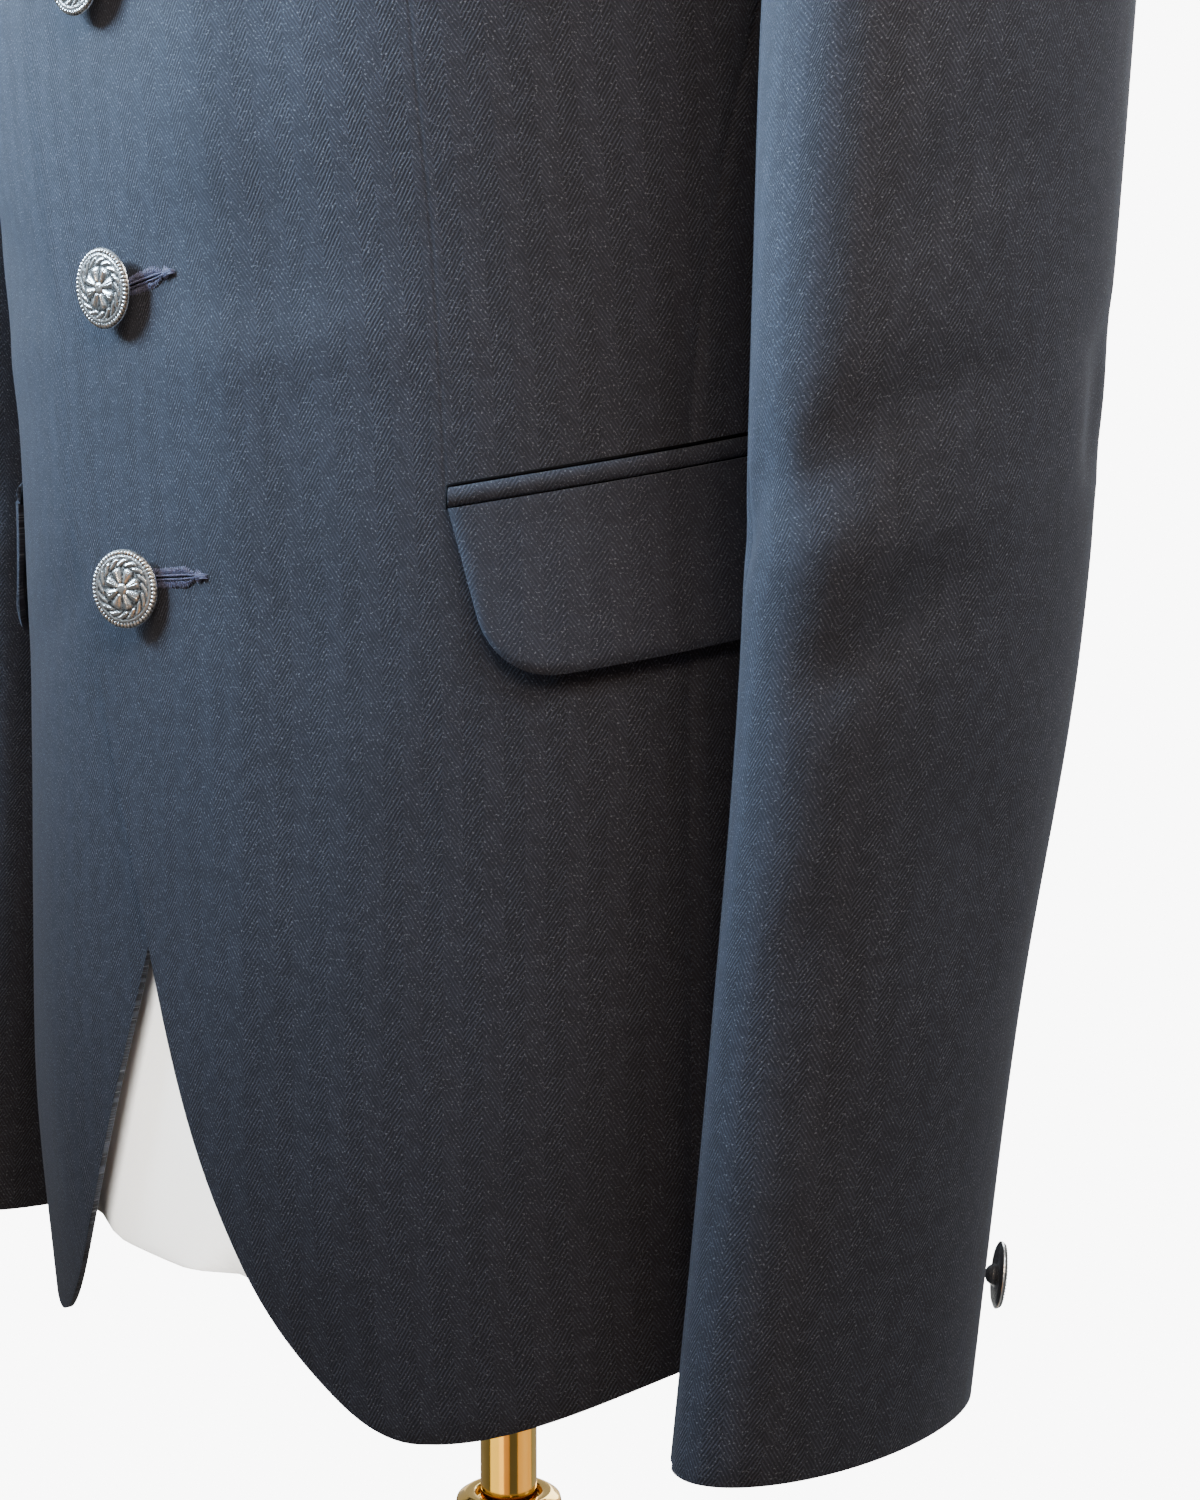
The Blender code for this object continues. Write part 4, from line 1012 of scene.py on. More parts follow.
def turned(name, profile, sides, material, closed=False):
    """A turned piece: a circle, extruded and scaled from one (radius, height) to the next."""
    first = profile[0]
    bpy.ops.mesh.primitive_circle_add(vertices=sides, radius=first[0], location=(0, 0, first[1]))
    piece = bpy.context.active_object
    piece.name = name
    bpy.ops.object.transform_apply(location=True, rotation=False, scale=False)
    bpy.ops.object.mode_set(mode="EDIT")
    last = first
    for point in profile[1:] + ([first] if closed else []):
        step = point[1] - last[1]
        bpy.ops.mesh.extrude_edges_move(TRANSFORM_OT_translate={"value": (0, 0, step)})
        scale = point[0] / last[0]
        bpy.ops.transform.resize(value=(scale, scale, 1), center_override=(0, 0, point[1]))
        last = point
    bpy.ops.mesh.select_all(action="SELECT")
    bpy.ops.mesh.remove_doubles(threshold=0.00001)
    if not closed:
        bpy.ops.mesh.select_all(action="DESELECT")
        bpy.ops.mesh.select_non_manifold()
        bpy.ops.mesh.edge_face_add()
    bpy.ops.mesh.select_all(action="SELECT")
    bpy.ops.mesh.normals_make_consistent(inside=False)
    bpy.ops.object.mode_set(mode="OBJECT")
    piece.data.materials.append(material)
    bpy.ops.object.select_all(action="DESELECT")
    return piece


def finish_piece(piece, slot, *nodes, smooth=30):
    """Smooths a piece, lets it ride on the part and hides the solids that it stands for."""
    bpy.ops.object.select_all(action="DESELECT")
    piece.select_set(True)
    bpy.context.view_layer.objects.active = piece
    bpy.ops.object.shade_smooth_by_angle(angle=math.radians(smooth))
    bpy.ops.object.select_all(action="DESELECT")
    if nodes:
        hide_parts(*nodes)
    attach(piece, "root")


def eased(profile, radius, steps=3):
    """Rounds each inner corner of a profile, for edges that catch the light."""
    rounded = [profile[0]]
    for before, corner, after in zip(profile, profile[1:], profile[2:]):
        corner = Vector(corner)
        into, out = Vector(before) - corner, Vector(after) - corner
        reach = min(radius, into.length / 2.2, out.length / 2.2)
        start, end = corner + into.normalized() * reach, corner + out.normalized() * reach
        for step in range(steps + 1):
            share = step / steps
            point = (1 - share) ** 2 * start + 2 * share * (1 - share) * corner + share**2 * end
            rounded.append(tuple(point))
    return rounded + [profile[-1]]


# Buttons: a domed face with a plain rosette inside a ring, and a milled rim

ROSETTE_PETALS = 8
MILLED_BEADS = 56
DOME_RISE = 0.00095  # heights of the face's relief
LEAF_RISE, SCROLL_RISE, BEAD_RISE = 0.00046, 0.00036, 0.00056
BUTTON_BACK, BUTTON_FACE = 0.0007, 0.0017  # the disc's lower and upper edge, over its shank
FACE_RINGS = 30


def face_height(reach, turn):
    """Height of the button's face over its rim, at a share of the radius and a turn."""
    dome = DOME_RISE * (1 - reach**2)
    petal = np.cos(ROSETTE_PETALS / 2 * turn) ** 2
    inside = smooth_step((0.56 - reach) / 0.10) * smooth_step((reach - 0.13) / 0.06)
    vein = 1 - 0.55 * np.exp(-((np.sin(ROSETTE_PETALS / 2 * turn) / 0.12) ** 2))
    leaf = LEAF_RISE * inside * petal * vein
    boss = LEAF_RISE * smooth_step((0.15 - reach) / 0.05)
    sprig = np.cos(ROSETTE_PETALS * turn + 2.2 * np.sin(reach * 9)) ** 2
    scroll = SCROLL_RISE * sprig * smooth_step((reach - 0.58) / 0.03)
    scroll = scroll * smooth_step((0.78 - reach) / 0.03)
    ring = SCROLL_RISE * np.exp(-(((reach - 0.82) / 0.022) ** 2))
    bead = 0.5 + 0.5 * np.cos(MILLED_BEADS * turn)
    rim = BEAD_RISE * bead * np.exp(-(((reach - 0.925) / 0.040) ** 2))
    return dome + leaf + boss + scroll + ring + rim


def button(name, radius, shank, seed):
    """One button, standing on height 0 with its face up, and how hollow each spot is."""
    back, top = shank + BUTTON_BACK, shank + BUTTON_FACE
    sides = MILLED_BEADS * 4
    bpy.ops.mesh.primitive_circle_add(vertices=sides, radius=radius, fill_type="NGON")
    piece = bpy.context.active_object
    piece.name = name
    bpy.ops.object.mode_set(mode="EDIT")
    for _ in range(FACE_RINGS - 1):
        bpy.ops.mesh.inset(thickness=radius / FACE_RINGS * 0.985, use_even_offset=False)
    bpy.ops.mesh.poke()
    bpy.ops.object.mode_set(mode="OBJECT")
    mesh = piece.data
    hollow = mesh.attributes.new("hollow", "FLOAT", "POINT")
    spots = np.array([vertex.co[:] for vertex in mesh.vertices])
    reach = np.hypot(spots[:, 0], spots[:, 1]) / radius
    turn = np.arctan2(spots[:, 1], spots[:, 0]) + seed
    height = face_height(reach, turn)
    relief = height - DOME_RISE * (1 - reach**2)
    hollow.data.foreach_set("value", np.clip(1 - relief / 0.00034, 0, 1))
    spots[:, 2] = top + height - 0.00035 * smooth_step((reach - 0.96) / 0.04)
    mesh.vertices.foreach_set("co", spots.ravel())
    bpy.ops.object.select_all(action="DESELECT")
    body = turned(
        name + "_body",
        eased(
            [(radius * 0.998, top - 0.0003), (radius * 1.012, top - 0.0007), (radius * 1.0, back),
             (radius * 0.86, shank), (0.0036, shank - 0.0001), (0.0030, shank * 0.55),
             (SHANK_RADIUS, 0.0004), (0.0012, 0.0)],
            0.0003, 2,
        ),
        64, BUTTON_METAL,
    )
    piece.data.materials.append(BUTTON_METAL)
    body.select_set(True)
    piece.select_set(True)
    bpy.context.view_layer.objects.active = piece
    bpy.ops.object.join()
    bpy.ops.object.select_all(action="DESELECT")
    return piece


def stand_on(piece, foot, way):
    """Puts a finished piece on a point with its axis along a direction, in its mesh."""
    turn = Vector(way).to_track_quat("Z", "Y").to_matrix().to_4x4()
    piece.data.transform(Matrix.Translation(Vector(foot)) @ turn)
    piece.data.update()


def button_seats():
    """Foot and direction of each front button, as the part has them."""
    seats = []
    for number, turn in enumerate(BUTTON_TURNS):
        height = BUTTON_LAST_Z + (len(BUTTON_TURNS) - 1 - number) * BUTTON_PITCH
        level = chart_of(np.array([[BUTTON_X, -float(through(BODY_SECTIONS, 2, height)), height]]))
        points, normals = on_body(level)
        foot = points[0] + (CLOTH + overlap_lift(0.0) + LAY_GAP) * normals[0]
        turn = math.radians(turn)
        way = normals[0] * math.cos(turn) + np.array([math.sin(turn), 0.0, 0.0])
        seats.append((foot + way * SHANK_RADIUS * abs(math.sin(turn)), way))
    return seats


def make_buttons():
    for number, (foot, way) in enumerate(button_seats()):
        node = f"front_button_{number + 1}"
        piece = button(f"{node}_metal", BUTTON_RADIUS, BUTTON_SHANK, 0.7 * number)
        stand_on(piece, foot, way)
        finish_piece(piece, "button_metal", node, smooth=50)
    share = CUFF_BUTTON_SHARE + np.array([-0.01, 0.0, 0.01])
    near = sleeve_points(share, CUFF_BUTTON_TURN + np.array([-0.05, 0.0, 0.05]))
    out = np.cross(near[1, 2] - near[1, 0], near[0, 1] - near[2, 1])
    out *= np.sign(out[0]) / np.linalg.norm(out)
    for side, mirror, _ in SIDES:
        node = f"cuff_button_{side}"
        turned_round = MIRROR if mirror else np.ones(3)
        piece = button(f"{node}_metal", CUFF_BUTTON_RADIUS, CUFF_BUTTON_SHANK, 0.3)
        stand_on(piece, (near[1, 1] + LAY_GAP * out) * turned_round, out * turned_round)
        finish_piece(piece, "button_metal", node, smooth=50)


# Buttonholes: whipped thread round a slit, with a bar at its back end

HOLE_ENDS = (0.031, 0.030, 0.031, 0.027, 0.033)  # x where each ends, top first
HOLE_TILTS = (0.04, 0.08, 0.03, 0.18, 0.05)  # metres up for each metre along
HOLE_RISES = (0.0020, 0.0014, 0.0024, -0.0011, 0.0028)  # over the middle of its button, at x 0
HOLE_START_X = -0.004
STITCH_PITCH = 0.00085
STITCH_REACH = 0.0032
SLIT_HALF = 0.0004
BAR_LENGTH = 0.0074


def stitch_mesh():
    """One whipped stitch, 1 mm long along X before it is scaled, bent over the cloth's edge."""
    bpy.ops.mesh.primitive_cylinder_add(
        vertices=7, radius=0.5, depth=1.0, rotation=(0, math.pi / 2, 0)
    )
    piece = bpy.context.active_object
    bpy.ops.object.transform_apply(location=False, rotation=True, scale=False)
    bpy.ops.object.mode_set(mode="EDIT")
    bpy.ops.mesh.select_all(action="SELECT")
    for share in (-0.25, 0.0, 0.25):
        bpy.ops.mesh.select_all(action="SELECT")
        bpy.ops.mesh.bisect(plane_co=(share, 0, 0), plane_no=(1, 0, 0))
    bpy.ops.object.mode_set(mode="OBJECT")
    spots = np.array([vertex.co[:] for vertex in piece.data.vertices])
    thin = 1 - 0.55 * (2 * np.abs(spots[:, 0])) ** 3
    spots[:, 1] *= thin
    spots[:, 2] = spots[:, 2] * thin - 1.1 * (2 * np.abs(spots[:, 0])) ** 2
    faces = [tuple(face.vertices) for face in piece.data.polygons]
    bpy.data.objects.remove(piece, do_unlink=True)
    return spots, faces


def make_buttonhole(number, stitch):
    """Stitches round the slit: two rows of them, a purl along the slit, and the end bar."""
    seat, _ = button_seats()[number]
    spots, faces = stitch
    places = []  # x, height over the slit, turn, length, thickness and lift of each stitch
    rng = np.random.default_rng(11 + number)
    hole_end = HOLE_ENDS[number]
    count = int((hole_end - HOLE_START_X) / STITCH_PITCH)
    for step in range(count):
        x = HOLE_START_X + step * STITCH_PITCH
        close = np.clip((hole_end - x) / 0.006, 0.30, 1.0)
        for side in (-1, 1):
            reach = STITCH_REACH * close * rng.uniform(0.92, 1.06)
            middle = side * (SLIT_HALF * close + reach / 2)
            places.append((x, middle, 90 + side * 12 + rng.uniform(-5, 5), reach, 0.00050, 0.0))
            knot = side * (SLIT_HALF * close + 0.0002)
            places.append((x + 0.0004, knot, rng.uniform(-25, 25), 0.0011, 0.00064, 0.00030))
    for step in range(5):
        x = hole_end - 0.0010 + step * 0.00055
        length = BAR_LENGTH * (0.62 - 0.09 * step)
        places.append((x, 0.0, 90 + rng.uniform(-4, 4), length, 0.00060, 0.00035))
    for step in range(3):
        up = (step - 1) * 0.0006
        places.append((hole_end + 0.0012, up, rng.uniform(-4, 4), 0.0042, 0.0006, 0.0003))
    height = seat[2] + HOLE_RISES[number]
    all_spots, all_faces = [], []
    for x, up, turn, length, thick, lift in places:
        level = height + up + HOLE_TILTS[number] * x
        chart = chart_of(np.array([[x, -float(through(BODY_SECTIONS, 2, level)), level]]))
        points, normals = on_body(chart)
        out = normals[0]
        cloth = CLOTH + overlap_lift(points[0][0]) + lift
        along = np.cross([0.0, 0.0, 1.0], out)
        along /= np.linalg.norm(along)
        upward = np.cross(out, along)
        angle = math.radians(turn)
        way = math.cos(angle) * along + math.sin(angle) * upward
        across = np.cross(out, way)
        base = points[0] + out * (cloth + thick * 0.35)
        placed = (
            base
            + spots[:, :1] * length * way
            + spots[:, 1:2] * thick * across
            + spots[:, 2:] * thick * out
        )
        first = len(all_spots) * len(spots)
        all_spots.append(placed)
        all_faces += [tuple(first + corner for corner in face) for face in faces]
    mesh = bpy.data.meshes.new(f"buttonhole_{number + 1}")
    mesh.from_pydata(np.concatenate(all_spots).tolist(), [], all_faces)
    mesh.materials.append(THREAD)
    finish_piece(new_object(mesh.name, mesh), "suiting", smooth=60)


def make_buttonholes():
    stitch = stitch_mesh()
    for number in range(len(BUTTON_TURNS)):
        make_buttonhole(number, stitch)


# Dress form and stand


def make_form():
    """The form's own solid, merged, made of quads and smoothed, under its jersey cover."""
    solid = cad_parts["form_torso"]
    piece = new_object("form_cover_jersey", solid.data.copy())
    bpy.context.view_layer.objects.active = piece
    piece.select_set(True)
    bpy.ops.object.mode_set(mode="EDIT")
    bpy.ops.mesh.select_all(action="SELECT")
    bpy.ops.mesh.remove_doubles(threshold=0.00005)
    limit = math.radians(60)
    bpy.ops.mesh.tris_convert_to_quads(face_threshold=limit, shape_threshold=limit)
    bpy.ops.object.mode_set(mode="OBJECT")
    smooth = piece.modifiers.new("Smooth form", "SUBSURF")
    smooth.levels = smooth.render_levels = 2
    bpy.ops.object.modifier_apply(modifier=smooth.name)
    piece.data.materials.clear()
    piece.data.materials.append(JERSEY)
    finish_piece(piece, "form_cover", "form_torso", smooth=60)


STAND_NODES = ("form_plate", "pole_inner", "pole_outer", "pole_collar", "stand_base", "neck_cap")
HUB = 0.004  # radius of the flat that closes each end of a turned piece


def rod(radius, top, low):
    return [(HUB, top), (radius, top), (radius, low), (HUB, low)]


def make_stand():
    """Plate, sliding pole, tube, collar, base and neck cap, turned with eased edges."""
    plate_top = FORM_BOTTOM_Z - SEAM_GAP
    plate_low = plate_top - PLATE_HEIGHT
    bore, step, top = POLE_RADIUS + SEAM_GAP, TUBE_RADIUS + SEAM_GAP, COLLAR_TOP_Z
    low, seat = top - COLLAR_DROP, TUBE_TOP_Z + SEAM_GAP
    plate = [
        (HUB, plate_top), (PLATE_RADIUS, plate_top), (PLATE_RADIUS, plate_low + 0.003),
        (PLATE_RADIUS - 0.003, plate_low), (0.018, plate_low), (HUB, plate_low),
    ]
    collar = [
        (bore, seat), (bore, top - 0.004), (RECESS_RADIUS, top - 0.0036), (RECESS_RADIUS, top),
        (COLLAR_RADIUS - 0.004, top), (COLLAR_RADIUS - 0.001, top - 0.002),
        (COLLAR_RADIUS, top - 0.007), (COLLAR_RADIUS - 0.001, top - 0.015),
        (COLLAR_RADIUS - 0.003, top - 0.022), (COLLAR_RADIUS - 0.0034, low), (step, low),
        (step, seat),
    ]
    base = [
        (HUB, BOSS_TOP_Z), (BOSS_RADIUS - 0.003, BOSS_TOP_Z), (BOSS_RADIUS, BOSS_TOP_Z - 0.003),
        (BOSS_RADIUS + 0.001, 0.030), (BOSS_RADIUS + 0.012, 0.021), (0.100, 0.0165),
        (BASE_RADIUS - 0.010, BASE_EDGE + 0.002), (BASE_RADIUS - 0.002, BASE_EDGE - 0.001),
        (BASE_RADIUS, BASE_EDGE - 0.004), (BASE_RADIUS, 0.001), (BASE_RADIUS - 0.001, 0.0),
        (HUB, 0.0),
    ]
    cap = [
        (0.001, 0.016), (0.006, 0.0155), (0.009, 0.012), (0.007, 0.0085), (0.012, 0.0068),
        (CAP_RADIUS - 0.004, 0.0052), (CAP_RADIUS, 0.0035), (CAP_RADIUS, 0.001),
        (CAP_RADIUS - 0.001, 0.0), (HUB, 0.0),
    ]
    profiles = (
        eased(plate, 0.0012),
        rod(POLE_RADIUS, plate_low - SEAM_GAP, TUBE_TOP_Z + SEAM_GAP),
        rod(TUBE_RADIUS, TUBE_TOP_Z, BOSS_TOP_Z + SEAM_GAP),
        eased(collar, 0.0008),
        eased(base, 0.004),
        eased(cap, 0.0015),
    )
    axis_y = NECK_FOOT[0] + NECK_LEAN * (FORM_TOP_Z - NECK_FOOT[1])
    for node, profile in zip(STAND_NODES, profiles):
        sides = 128 if node == "stand_base" else 96
        piece = turned(f"{node}_brass", profile, sides, BRASS, closed=node == "pole_collar")
        if node == "neck_cap":
            piece.data.transform(Matrix.Translation((0.0, axis_y, FORM_TOP_Z + SEAM_GAP)))
        finish_piece(piece, "brass", node)


# Materials


def maths(tree, operation, *values):
    """A Math node fed by numbers or sockets. Gives its output."""
    made = tree.nodes.new("ShaderNodeMath")
    made.operation = operation
    for socket, value in zip(made.inputs, values):
        if isinstance(value, (int, float)):
            socket.default_value = value
        else:
            tree.links.new(value, socket)
    return made.outputs[0]


def times(tree, *values):
    return maths(tree, "MULTIPLY", *values)


def plus(tree, *values):
    return maths(tree, "ADD", *values)


def minus(tree, *values):
    return maths(tree, "SUBTRACT", *values)


def noise(tree, vector, scale, detail=2.0):
    made = tree.nodes.new("ShaderNodeTexNoise")
    made.inputs["Scale"].default_value = scale
    made.inputs["Detail"].default_value = detail
    tree.links.new(vector, made.inputs["Vector"])
    return made.outputs["Fac"]


def ramp(tree, value, low, high):
    """Takes a value from low to high onto 0 to 1, softly."""
    made = tree.nodes.new("ShaderNodeMapRange")
    made.interpolation_type = "SMOOTHSTEP"
    made.inputs["From Min"].default_value = low
    made.inputs["From Max"].default_value = high
    tree.links.new(value, made.inputs["Value"])
    return made.outputs["Result"]


def mixed(tree, share, first, second):
    """Mixes two colours, each a socket or three numbers."""
    made = tree.nodes.new("ShaderNodeMix")
    made.data_type = "RGBA"
    for number, value in ((0, share), (6, first), (7, second)):
        socket = made.inputs[number]
        if isinstance(value, tuple):
            socket.default_value = (*value, 1.0)
        elif isinstance(value, (int, float)):
            socket.default_value = value
        else:
            tree.links.new(value, socket)
    return made.outputs[2]


def herringbone_group():
    """Twill strokes that turn back at each column, and the cloth's pale flecks."""
    group = bpy.data.node_groups.new("herringbone", "ShaderNodeTree")
    group.interface.new_socket("UV", in_out="INPUT", socket_type="NodeSocketVector")
    for name in ("Stroke", "Fleck", "Nap"):
        group.interface.new_socket(name, in_out="OUTPUT", socket_type="NodeSocketFloat")
    start, end = group.nodes.new("NodeGroupInput"), group.nodes.new("NodeGroupOutput")
    uv = start.outputs["UV"]
    parts = group.nodes.new("ShaderNodeSeparateXYZ")
    group.links.new(uv, parts.inputs[0])
    u, v = parts.outputs["X"], parts.outputs["Y"]
    drift = times(group, minus(group, noise(group, uv, 90), 0.5), 0.0009)
    u = plus(group, u, drift)
    column = maths(group, "FLOOR", maths(group, "DIVIDE", u, COLUMN))
    back = maths(group, "FLOORED_MODULO", column, 2.0)
    lean = minus(group, 1.0, times(group, back, 2.0))
    run = times(group, lean, maths(group, "DIVIDE", v, STROKE_SLOPE))
    uneven = times(group, noise(group, uv, 420), 0.6)
    phase = maths(group, "DIVIDE", minus(group, u, run), STROKE_PITCH)
    phase = plus(group, phase, uneven)
    wave = maths(group, "COSINE", times(group, phase, 2 * math.pi))
    stroke = ramp(group, wave, -0.25, 0.80)
    # The back-leaning columns' strokes get less contrast: painted light, as the two leans of the
    # same twill differ only by how the light falls.
    strength = minus(group, 1.0, times(group, back, 0.45))
    patches = ramp(group, noise(group, uv, 190, 1.0), 0.36, 0.62)
    patches = plus(group, times(group, patches, 0.35), 0.65)
    stroke = times(group, minus(group, stroke, STROKE_MEAN), strength)
    stroke = times(group, plus(group, stroke, STROKE_MEAN), patches)
    fleck = ramp(group, noise(group, uv, 1500, 1.0), 0.60, 0.74)
    group.links.new(stroke, end.inputs["Stroke"])
    group.links.new(fleck, end.inputs["Fleck"])
    group.links.new(noise(group, uv, 2600, 2.0), end.inputs["Nap"])
    return group


def new_material(name, bump_strength, bump_distance, looks):
    """A material: its Principled shader, dressed in the looks given, and a bump that feeds it."""
    material = bpy.data.materials.new(name)
    material.use_nodes = True
    tree = material.node_tree
    shader = tree.nodes["Principled BSDF"]
    bump = tree.nodes.new("ShaderNodeBump")
    tree.links.new(bump.outputs["Normal"], shader.inputs["Normal"])
    bump.inputs["Strength"].default_value = bump_strength
    bump.inputs["Distance"].default_value = bump_distance
    for key, value in looks.items():
        shader.inputs[key].default_value = value
    return material, tree, shader, bump


def suiting(name, dart=None, dark=CLOTH_DARK):
    """Navy herringbone wool: dark ground, paler strokes and flecks, and a soft sheen."""
    material, tree, shader, bump = new_material(name, 0.5, 0.00025, {
        "Specular IOR Level": 0.30,
        "Sheen Weight": 0.18,
        "Sheen Roughness": 0.45,
        "Sheen Tint": (0.58, 0.65, 0.80, 1.0),
    })
    uv = tree.nodes.new("ShaderNodeUVMap")
    uv.uv_map = "UVMap"
    weave = tree.nodes.new("ShaderNodeGroup")
    weave.node_tree = HERRINGBONE
    tree.links.new(uv.outputs["UV"], weave.inputs["UV"])
    stroke, fleck, nap = (weave.outputs[key] for key in ("Stroke", "Fleck", "Nap"))
    colour = mixed(tree, stroke, dark, CLOTH_PALE)
    colour = mixed(tree, times(tree, fleck, 0.55), colour, CLOTH_FLECK)
    cloud = noise(tree, uv.outputs["UV"], 14, 3.0)
    cloud = times(tree, ramp(tree, cloud, 0.35, 0.75), 0.25)
    colour = mixed(tree, cloud, colour, CLOTH_DARK)
    height = plus(tree, times(tree, stroke, 0.8), times(tree, nap, 0.7))
    if dart:
        line = dart_groove_and_painted_shade(tree, uv.outputs["UV"], *dart)
        # Painted shade: the dart line darkens the colour as shade in its sewn groove would; the
        # bump below sinks the groove itself.
        colour = mixed(tree, times(tree, line, 0.22), colour, (0.004, 0.005, 0.008))
        height = minus(tree, height, times(tree, line, 0.8))
    tree.links.new(colour, shader.inputs["Base Color"])
    tree.links.new(height, bump.inputs["Height"])
    rough = plus(tree, times(tree, nap, 0.2), 0.68)
    tree.links.new(rough, shader.inputs["Roughness"])
    return material


def dart_groove_and_painted_shade(tree, uv, low, high):
    """A thin mask along the sewn dart, from its low end up past its high end: it sinks the dart's
    groove in the bump and paints its shade into the colour. The u of both fronts is a distance from
    the centre line, so its size alone is read."""
    parts = tree.nodes.new("ShaderNodeSeparateXYZ")
    tree.links.new(uv, parts.inputs[0])
    u = maths(tree, "ABSOLUTE", parts.outputs["X"])
    share = minus(tree, parts.outputs["Y"], low[1])
    share = maths(tree, "DIVIDE", share, high[1] - low[1])
    place = plus(tree, times(tree, share, high[0] - low[0]), low[0])
    off = maths(tree, "ABSOLUTE", minus(tree, u, place))
    line = minus(tree, 1.0, ramp(tree, off, 0.0002, 0.0009))
    line = times(tree, line, ramp(tree, share, -0.01, 0.01))
    return times(tree, line, minus(tree, 1.0, ramp(tree, share, 1.2, 1.9)))


DART_TOP = (0.113, 1.150)  # x and height


def dart_ends():
    """The dart's two ends as UV: the pocket's front corner and a point above it."""
    ends = []
    for x, z in ((POCKET_FRONT_X - 0.001, POCKET_Z), DART_TOP):
        chart = chart_at_x([x], [z])
        ends.append(tuple(float(value) for value in weave_place(chart, FRONT_GRAIN)[0]))
    return ends


def twist(name, dark, pale, sheen=0.3, gloss=0.5):
    """Sewing thread, its strands in two close colours. Near-black and without sheen, it also makes
    the cord of painted seam shade.
    """
    material, tree, shader, bump = new_material(name, 0.4, 0.0002, {
        "Roughness": 0.55, "Sheen Weight": sheen, "Specular IOR Level": gloss,
    })
    place = tree.nodes.new("ShaderNodeTexCoord").outputs["Object"]
    strand = noise(tree, place, 2400, 2.0)
    colour = mixed(tree, ramp(tree, strand, 0.3, 0.7), dark, pale)
    tree.links.new(colour, shader.inputs["Base Color"])
    tree.links.new(strand, bump.inputs["Height"])
    return material


def button_metal():
    """Antiqued silver-coloured metal: its hollows have kept a dark tarnish."""
    material, tree, shader, bump = new_material(
        "antiqued button metal", 0.55, 0.0003, {"Metallic": 1.0}
    )
    hollow = tree.nodes.new("ShaderNodeAttribute")
    hollow.attribute_name = "hollow"
    place = tree.nodes.new("ShaderNodeTexCoord").outputs["Object"]
    cast = noise(tree, place, 1500, 3.0)
    worn = plus(tree, times(tree, ramp(tree, cast, 0.35, 0.60), 0.35), 0.65)
    dark = times(tree, ramp(tree, hollow.outputs["Fac"], 0.20, 0.95), worn)
    colour = mixed(tree, dark, (0.84, 0.83, 0.80), (0.045, 0.042, 0.038))
    tree.links.new(colour, shader.inputs["Base Color"])
    rough = plus(tree, times(tree, dark, 0.30), 0.24)
    tree.links.new(rough, shader.inputs["Roughness"])
    tree.links.new(cast, bump.inputs["Height"])
    return material


def brass():
    """Polished brass, faintly smeared."""
    material, tree, shader, bump = new_material("polished brass", 0.04, 0.0002, {"Metallic": 1.0})
    place = tree.nodes.new("ShaderNodeTexCoord").outputs["Object"]
    smear = noise(tree, place, 30, 4.0)
    colour = mixed(tree, ramp(tree, smear, 0.35, 0.7), (0.94, 0.62, 0.17), (0.88, 0.54, 0.13))
    tree.links.new(colour, shader.inputs["Base Color"])
    rough = plus(tree, times(tree, smear, 0.08), 0.08)
    tree.links.new(rough, shader.inputs["Roughness"])
    tree.links.new(noise(tree, place, 220, 3.0), bump.inputs["Height"])
    return material


def jersey():
    """Pale stretched jersey: fine upright ribs of knit."""
    material, tree, shader, bump = new_material(
        "form jersey", 0.3, 0.0003, {"Roughness": 0.9, "Sheen Weight": 0.2}
    )
    place = tree.nodes.new("ShaderNodeTexCoord").outputs["Object"]
    knit = tree.nodes.new("ShaderNodeTexVoronoi")
    knit.inputs["Scale"].default_value = 900
    tree.links.new(place, knit.inputs["Vector"])
    cloud = noise(tree, place, 9, 3.0)
    colour = mixed(tree, ramp(tree, cloud, 0.3, 0.75), (0.88, 0.87, 0.84), (0.80, 0.79, 0.76))
    tree.links.new(colour, shader.inputs["Base Color"])
    tree.links.new(knit.outputs["Distance"], bump.inputs["Height"])
    return material


# Floor, light and camera


def aimed_light(name, size, place, target, power, colour, spread, only):
    """An area light, its spread in degrees. It lights only the pieces named, if any are."""
    data = bpy.data.lights.new(name, "AREA")
    data.shape = "RECTANGLE"
    data.size, data.size_y = size
    data.energy, data.color = power, colour
    data.spread = math.radians(spread)
    light = new_object(name, data)
    light.location = place
    light.rotation_euler = (Vector(target) - Vector(place)).to_track_quat("-Z", "Y").to_euler()
    if only:
        lit = bpy.data.collections.new(name)
        for piece in only:
            lit.objects.link(bpy.data.objects[piece])
        light.light_linking.receiver_collection = lit


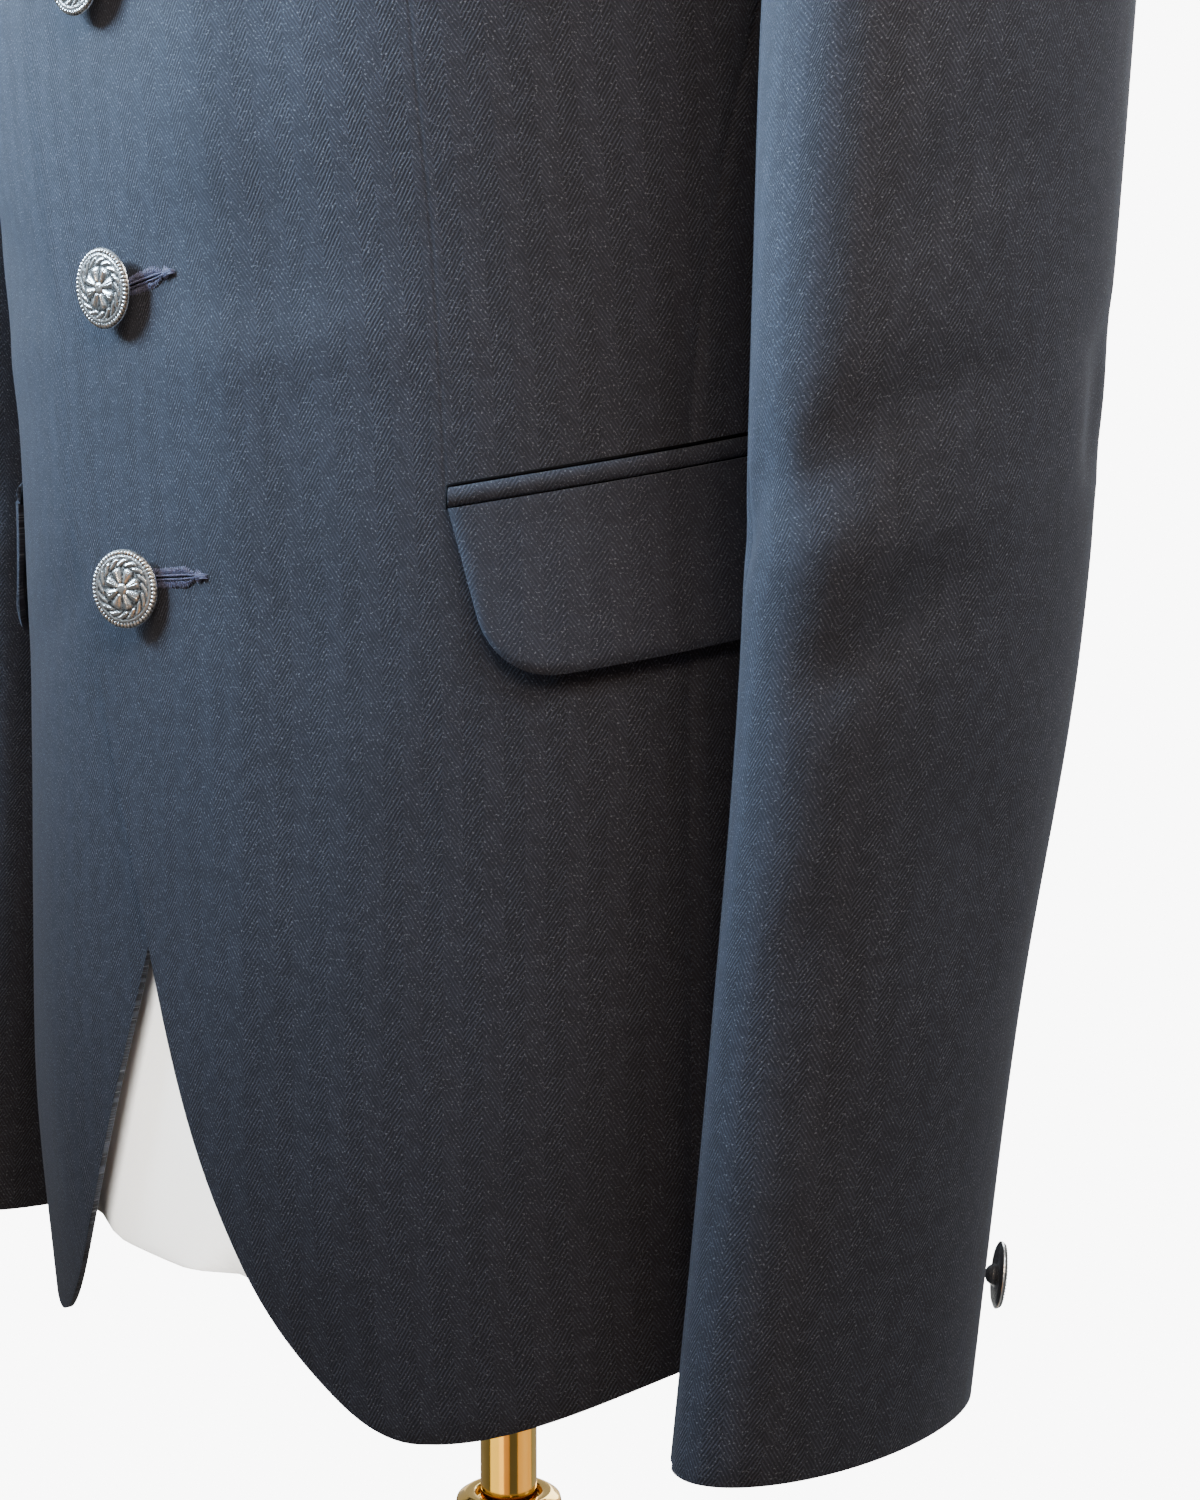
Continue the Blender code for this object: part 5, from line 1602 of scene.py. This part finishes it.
def make_lights():
    form = ("form_cover_jersey",)
    metal = tuple(f"{node}_brass" for node in STAND_NODES)
    for light in (
        # name, size, place, target, power, colour, spread and the pieces lit
        ("window", (0.7, 0.5), (-0.75, -0.95, 1.85), (-0.05, -0.05, 1.56),
         26, (0.54, 0.755, 1.0), 60, None),
        ("skylight", (0.5, 0.5), (0.95, -0.15, 1.95), (0.22, 0.0, 1.50),
         3.5, (0.92, 0.95, 0.97), 80, None),
        ("room", (0.6, 0.5), (1.0, -0.90, 1.90), (0.15, -0.05, 1.45),
         2.9, (1.0, 0.80, 0.62), 72, None),
        ("lamp", (0.9, 0.9), (1.75, -0.75, 2.15), (0.2, 0.0, 1.60),
         2.2, (1.0, 0.62, 0.36), 80, None),
        ("warm bounce", (0.8, 0.5), (0.55, -0.95, 0.45), (0.1, 0.0, 0.90),
         0.4, (1.0, 0.50, 0.20), 110, None),
        ("rim", (0.5, 1.2), (1.40, 1.10, 1.85), (0.25, 0.0, 1.40),
         0.5, (0.78, 0.90, 1.0), 90, None),
        ("back fill", (1.2, 1.6), (-0.9, 1.9, 1.9), (0.0, 0.0, 1.2),
         34, (0.86, 0.93, 1.0), 180, None),
        ("form fill", (0.5, 0.5), (0.55, -1.10, 0.75), (0.0, -0.1, 0.85),
         18.0, (1.0, 0.99, 0.97), 120, form),
        ("brass front", (1.1, 0.5), (-0.03, -1.00, 0.38), (0.0, 0.0, 0.70),
         3.0, (1.0, 0.84, 0.24), 180, metal),
        ("brass side", (1.3, 0.5), (0.90, 0.50, 0.38), (0.0, 0.0, 0.70),
         2.0, (1.0, 0.60, 0.18), 180, metal),
        ("brass back", (1.8, 0.9), (-0.9, 1.30, 0.70), (0.0, 0.0, 0.60),
         4.0, (1.0, 0.93, 0.78), 180, metal),
    ):
        aimed_light(*light)
    world = bpy.data.worlds.new("studio")
    bpy.context.scene.world = world
    world.use_nodes = True
    tree = world.node_tree
    tree.nodes.clear()
    rays = tree.nodes.new("ShaderNodeLightPath")
    seen = None
    for ray, strength, colour in (
        (None, 0.05, (1.0, 0.88, 0.74, 1.0)),
        ("Is Glossy Ray", 0.45, (0.96, 0.98, 1.0, 1.0)),
        ("Is Camera Ray", BACKDROP_GLOW, (1.0, 1.0, 1.0, 1.0)),
    ):
        glow = tree.nodes.new("ShaderNodeBackground")
        glow.inputs["Color"].default_value = colour
        glow.inputs["Strength"].default_value = strength
        if not ray:
            seen = glow.outputs["Background"]
            continue
        mix = tree.nodes.new("ShaderNodeMixShader")
        tree.links.new(rays.outputs[ray], mix.inputs["Fac"])
        tree.links.new(seen, mix.inputs[1])
        tree.links.new(glow.outputs["Background"], mix.inputs[2])
        seen = mix.outputs["Shader"]
    tree.links.new(seen, tree.nodes.new("ShaderNodeOutputWorld").inputs["Surface"])


def make_floor():
    bpy.ops.mesh.primitive_plane_add(size=14, location=(0, 0, -0.0005))
    floor = bpy.context.active_object
    floor.name = "floor"
    material = bpy.data.materials.new("pale floor")
    material.use_nodes = True
    tree = material.node_tree
    shader = tree.nodes["Principled BSDF"]
    shader.inputs["Base Color"].default_value = (0.82, 0.82, 0.82, 1.0)
    shader.inputs["Roughness"].default_value = 0.9
    glow = tree.nodes.new("ShaderNodeEmission")
    glow.inputs["Strength"].default_value = FLOOR_GLOW
    mix = tree.nodes.new("ShaderNodeMixShader")
    rays = tree.nodes.new("ShaderNodeLightPath")
    share = times(tree, rays.outputs["Is Camera Ray"], 0.88)
    tree.links.new(share, mix.inputs["Fac"])
    tree.links.new(shader.outputs["BSDF"], mix.inputs[1])
    tree.links.new(glow.outputs["Emission"], mix.inputs[2])
    tree.links.new(mix.outputs["Shader"], tree.nodes["Material Output"].inputs["Surface"])
    floor.data.materials.append(material)
    bpy.ops.object.select_all(action="DESELECT")


def make_camera():
    data = bpy.data.cameras.new("camera")
    data.lens, data.sensor_width = 64.8, 36.0
    data.clip_start = 0.02
    camera = new_object("camera", data)
    camera.location = (0.70599, -0.63567, 1.017)
    camera.rotation_euler = (math.radians(90 - 5.71), 0.0, math.radians(CAMERA_TURN))
    bpy.context.scene.camera = camera


HERRINGBONE = herringbone_group()
SUITING = suiting("navy herringbone suiting")
SUITING_FRONT = suiting("navy herringbone suiting with the dart", dart_ends())
# A paler ground than the panels' for flaps and jets of the same cloth: painted light, where they
# stand off the panel and catch more of it.
SUITING_PAINTED_LIT = suiting("navy herringbone suiting of the flaps", dark=(0.018, 0.021, 0.031))
THREAD = twist("buttonhole twist", (0.045, 0.050, 0.105), (0.130, 0.142, 0.270))
# Near-black, without sheen or gloss: the painted shade of the sunk seams beside the jets.
PAINTED_SEAM_SHADE = twist("painted seam shade cord", (0.0012, 0.0013, 0.0018), (0.003, 0.003, 0.004), 0.0, 0.05)
BUTTON_METAL = button_metal()
BRASS = brass()
JERSEY = jersey()

make_form()
make_stand()
make_body_panels()
make_sleeves()
make_collar()
make_pockets()
make_buttons()
make_buttonholes()
make_floor()
make_lights()
make_camera()
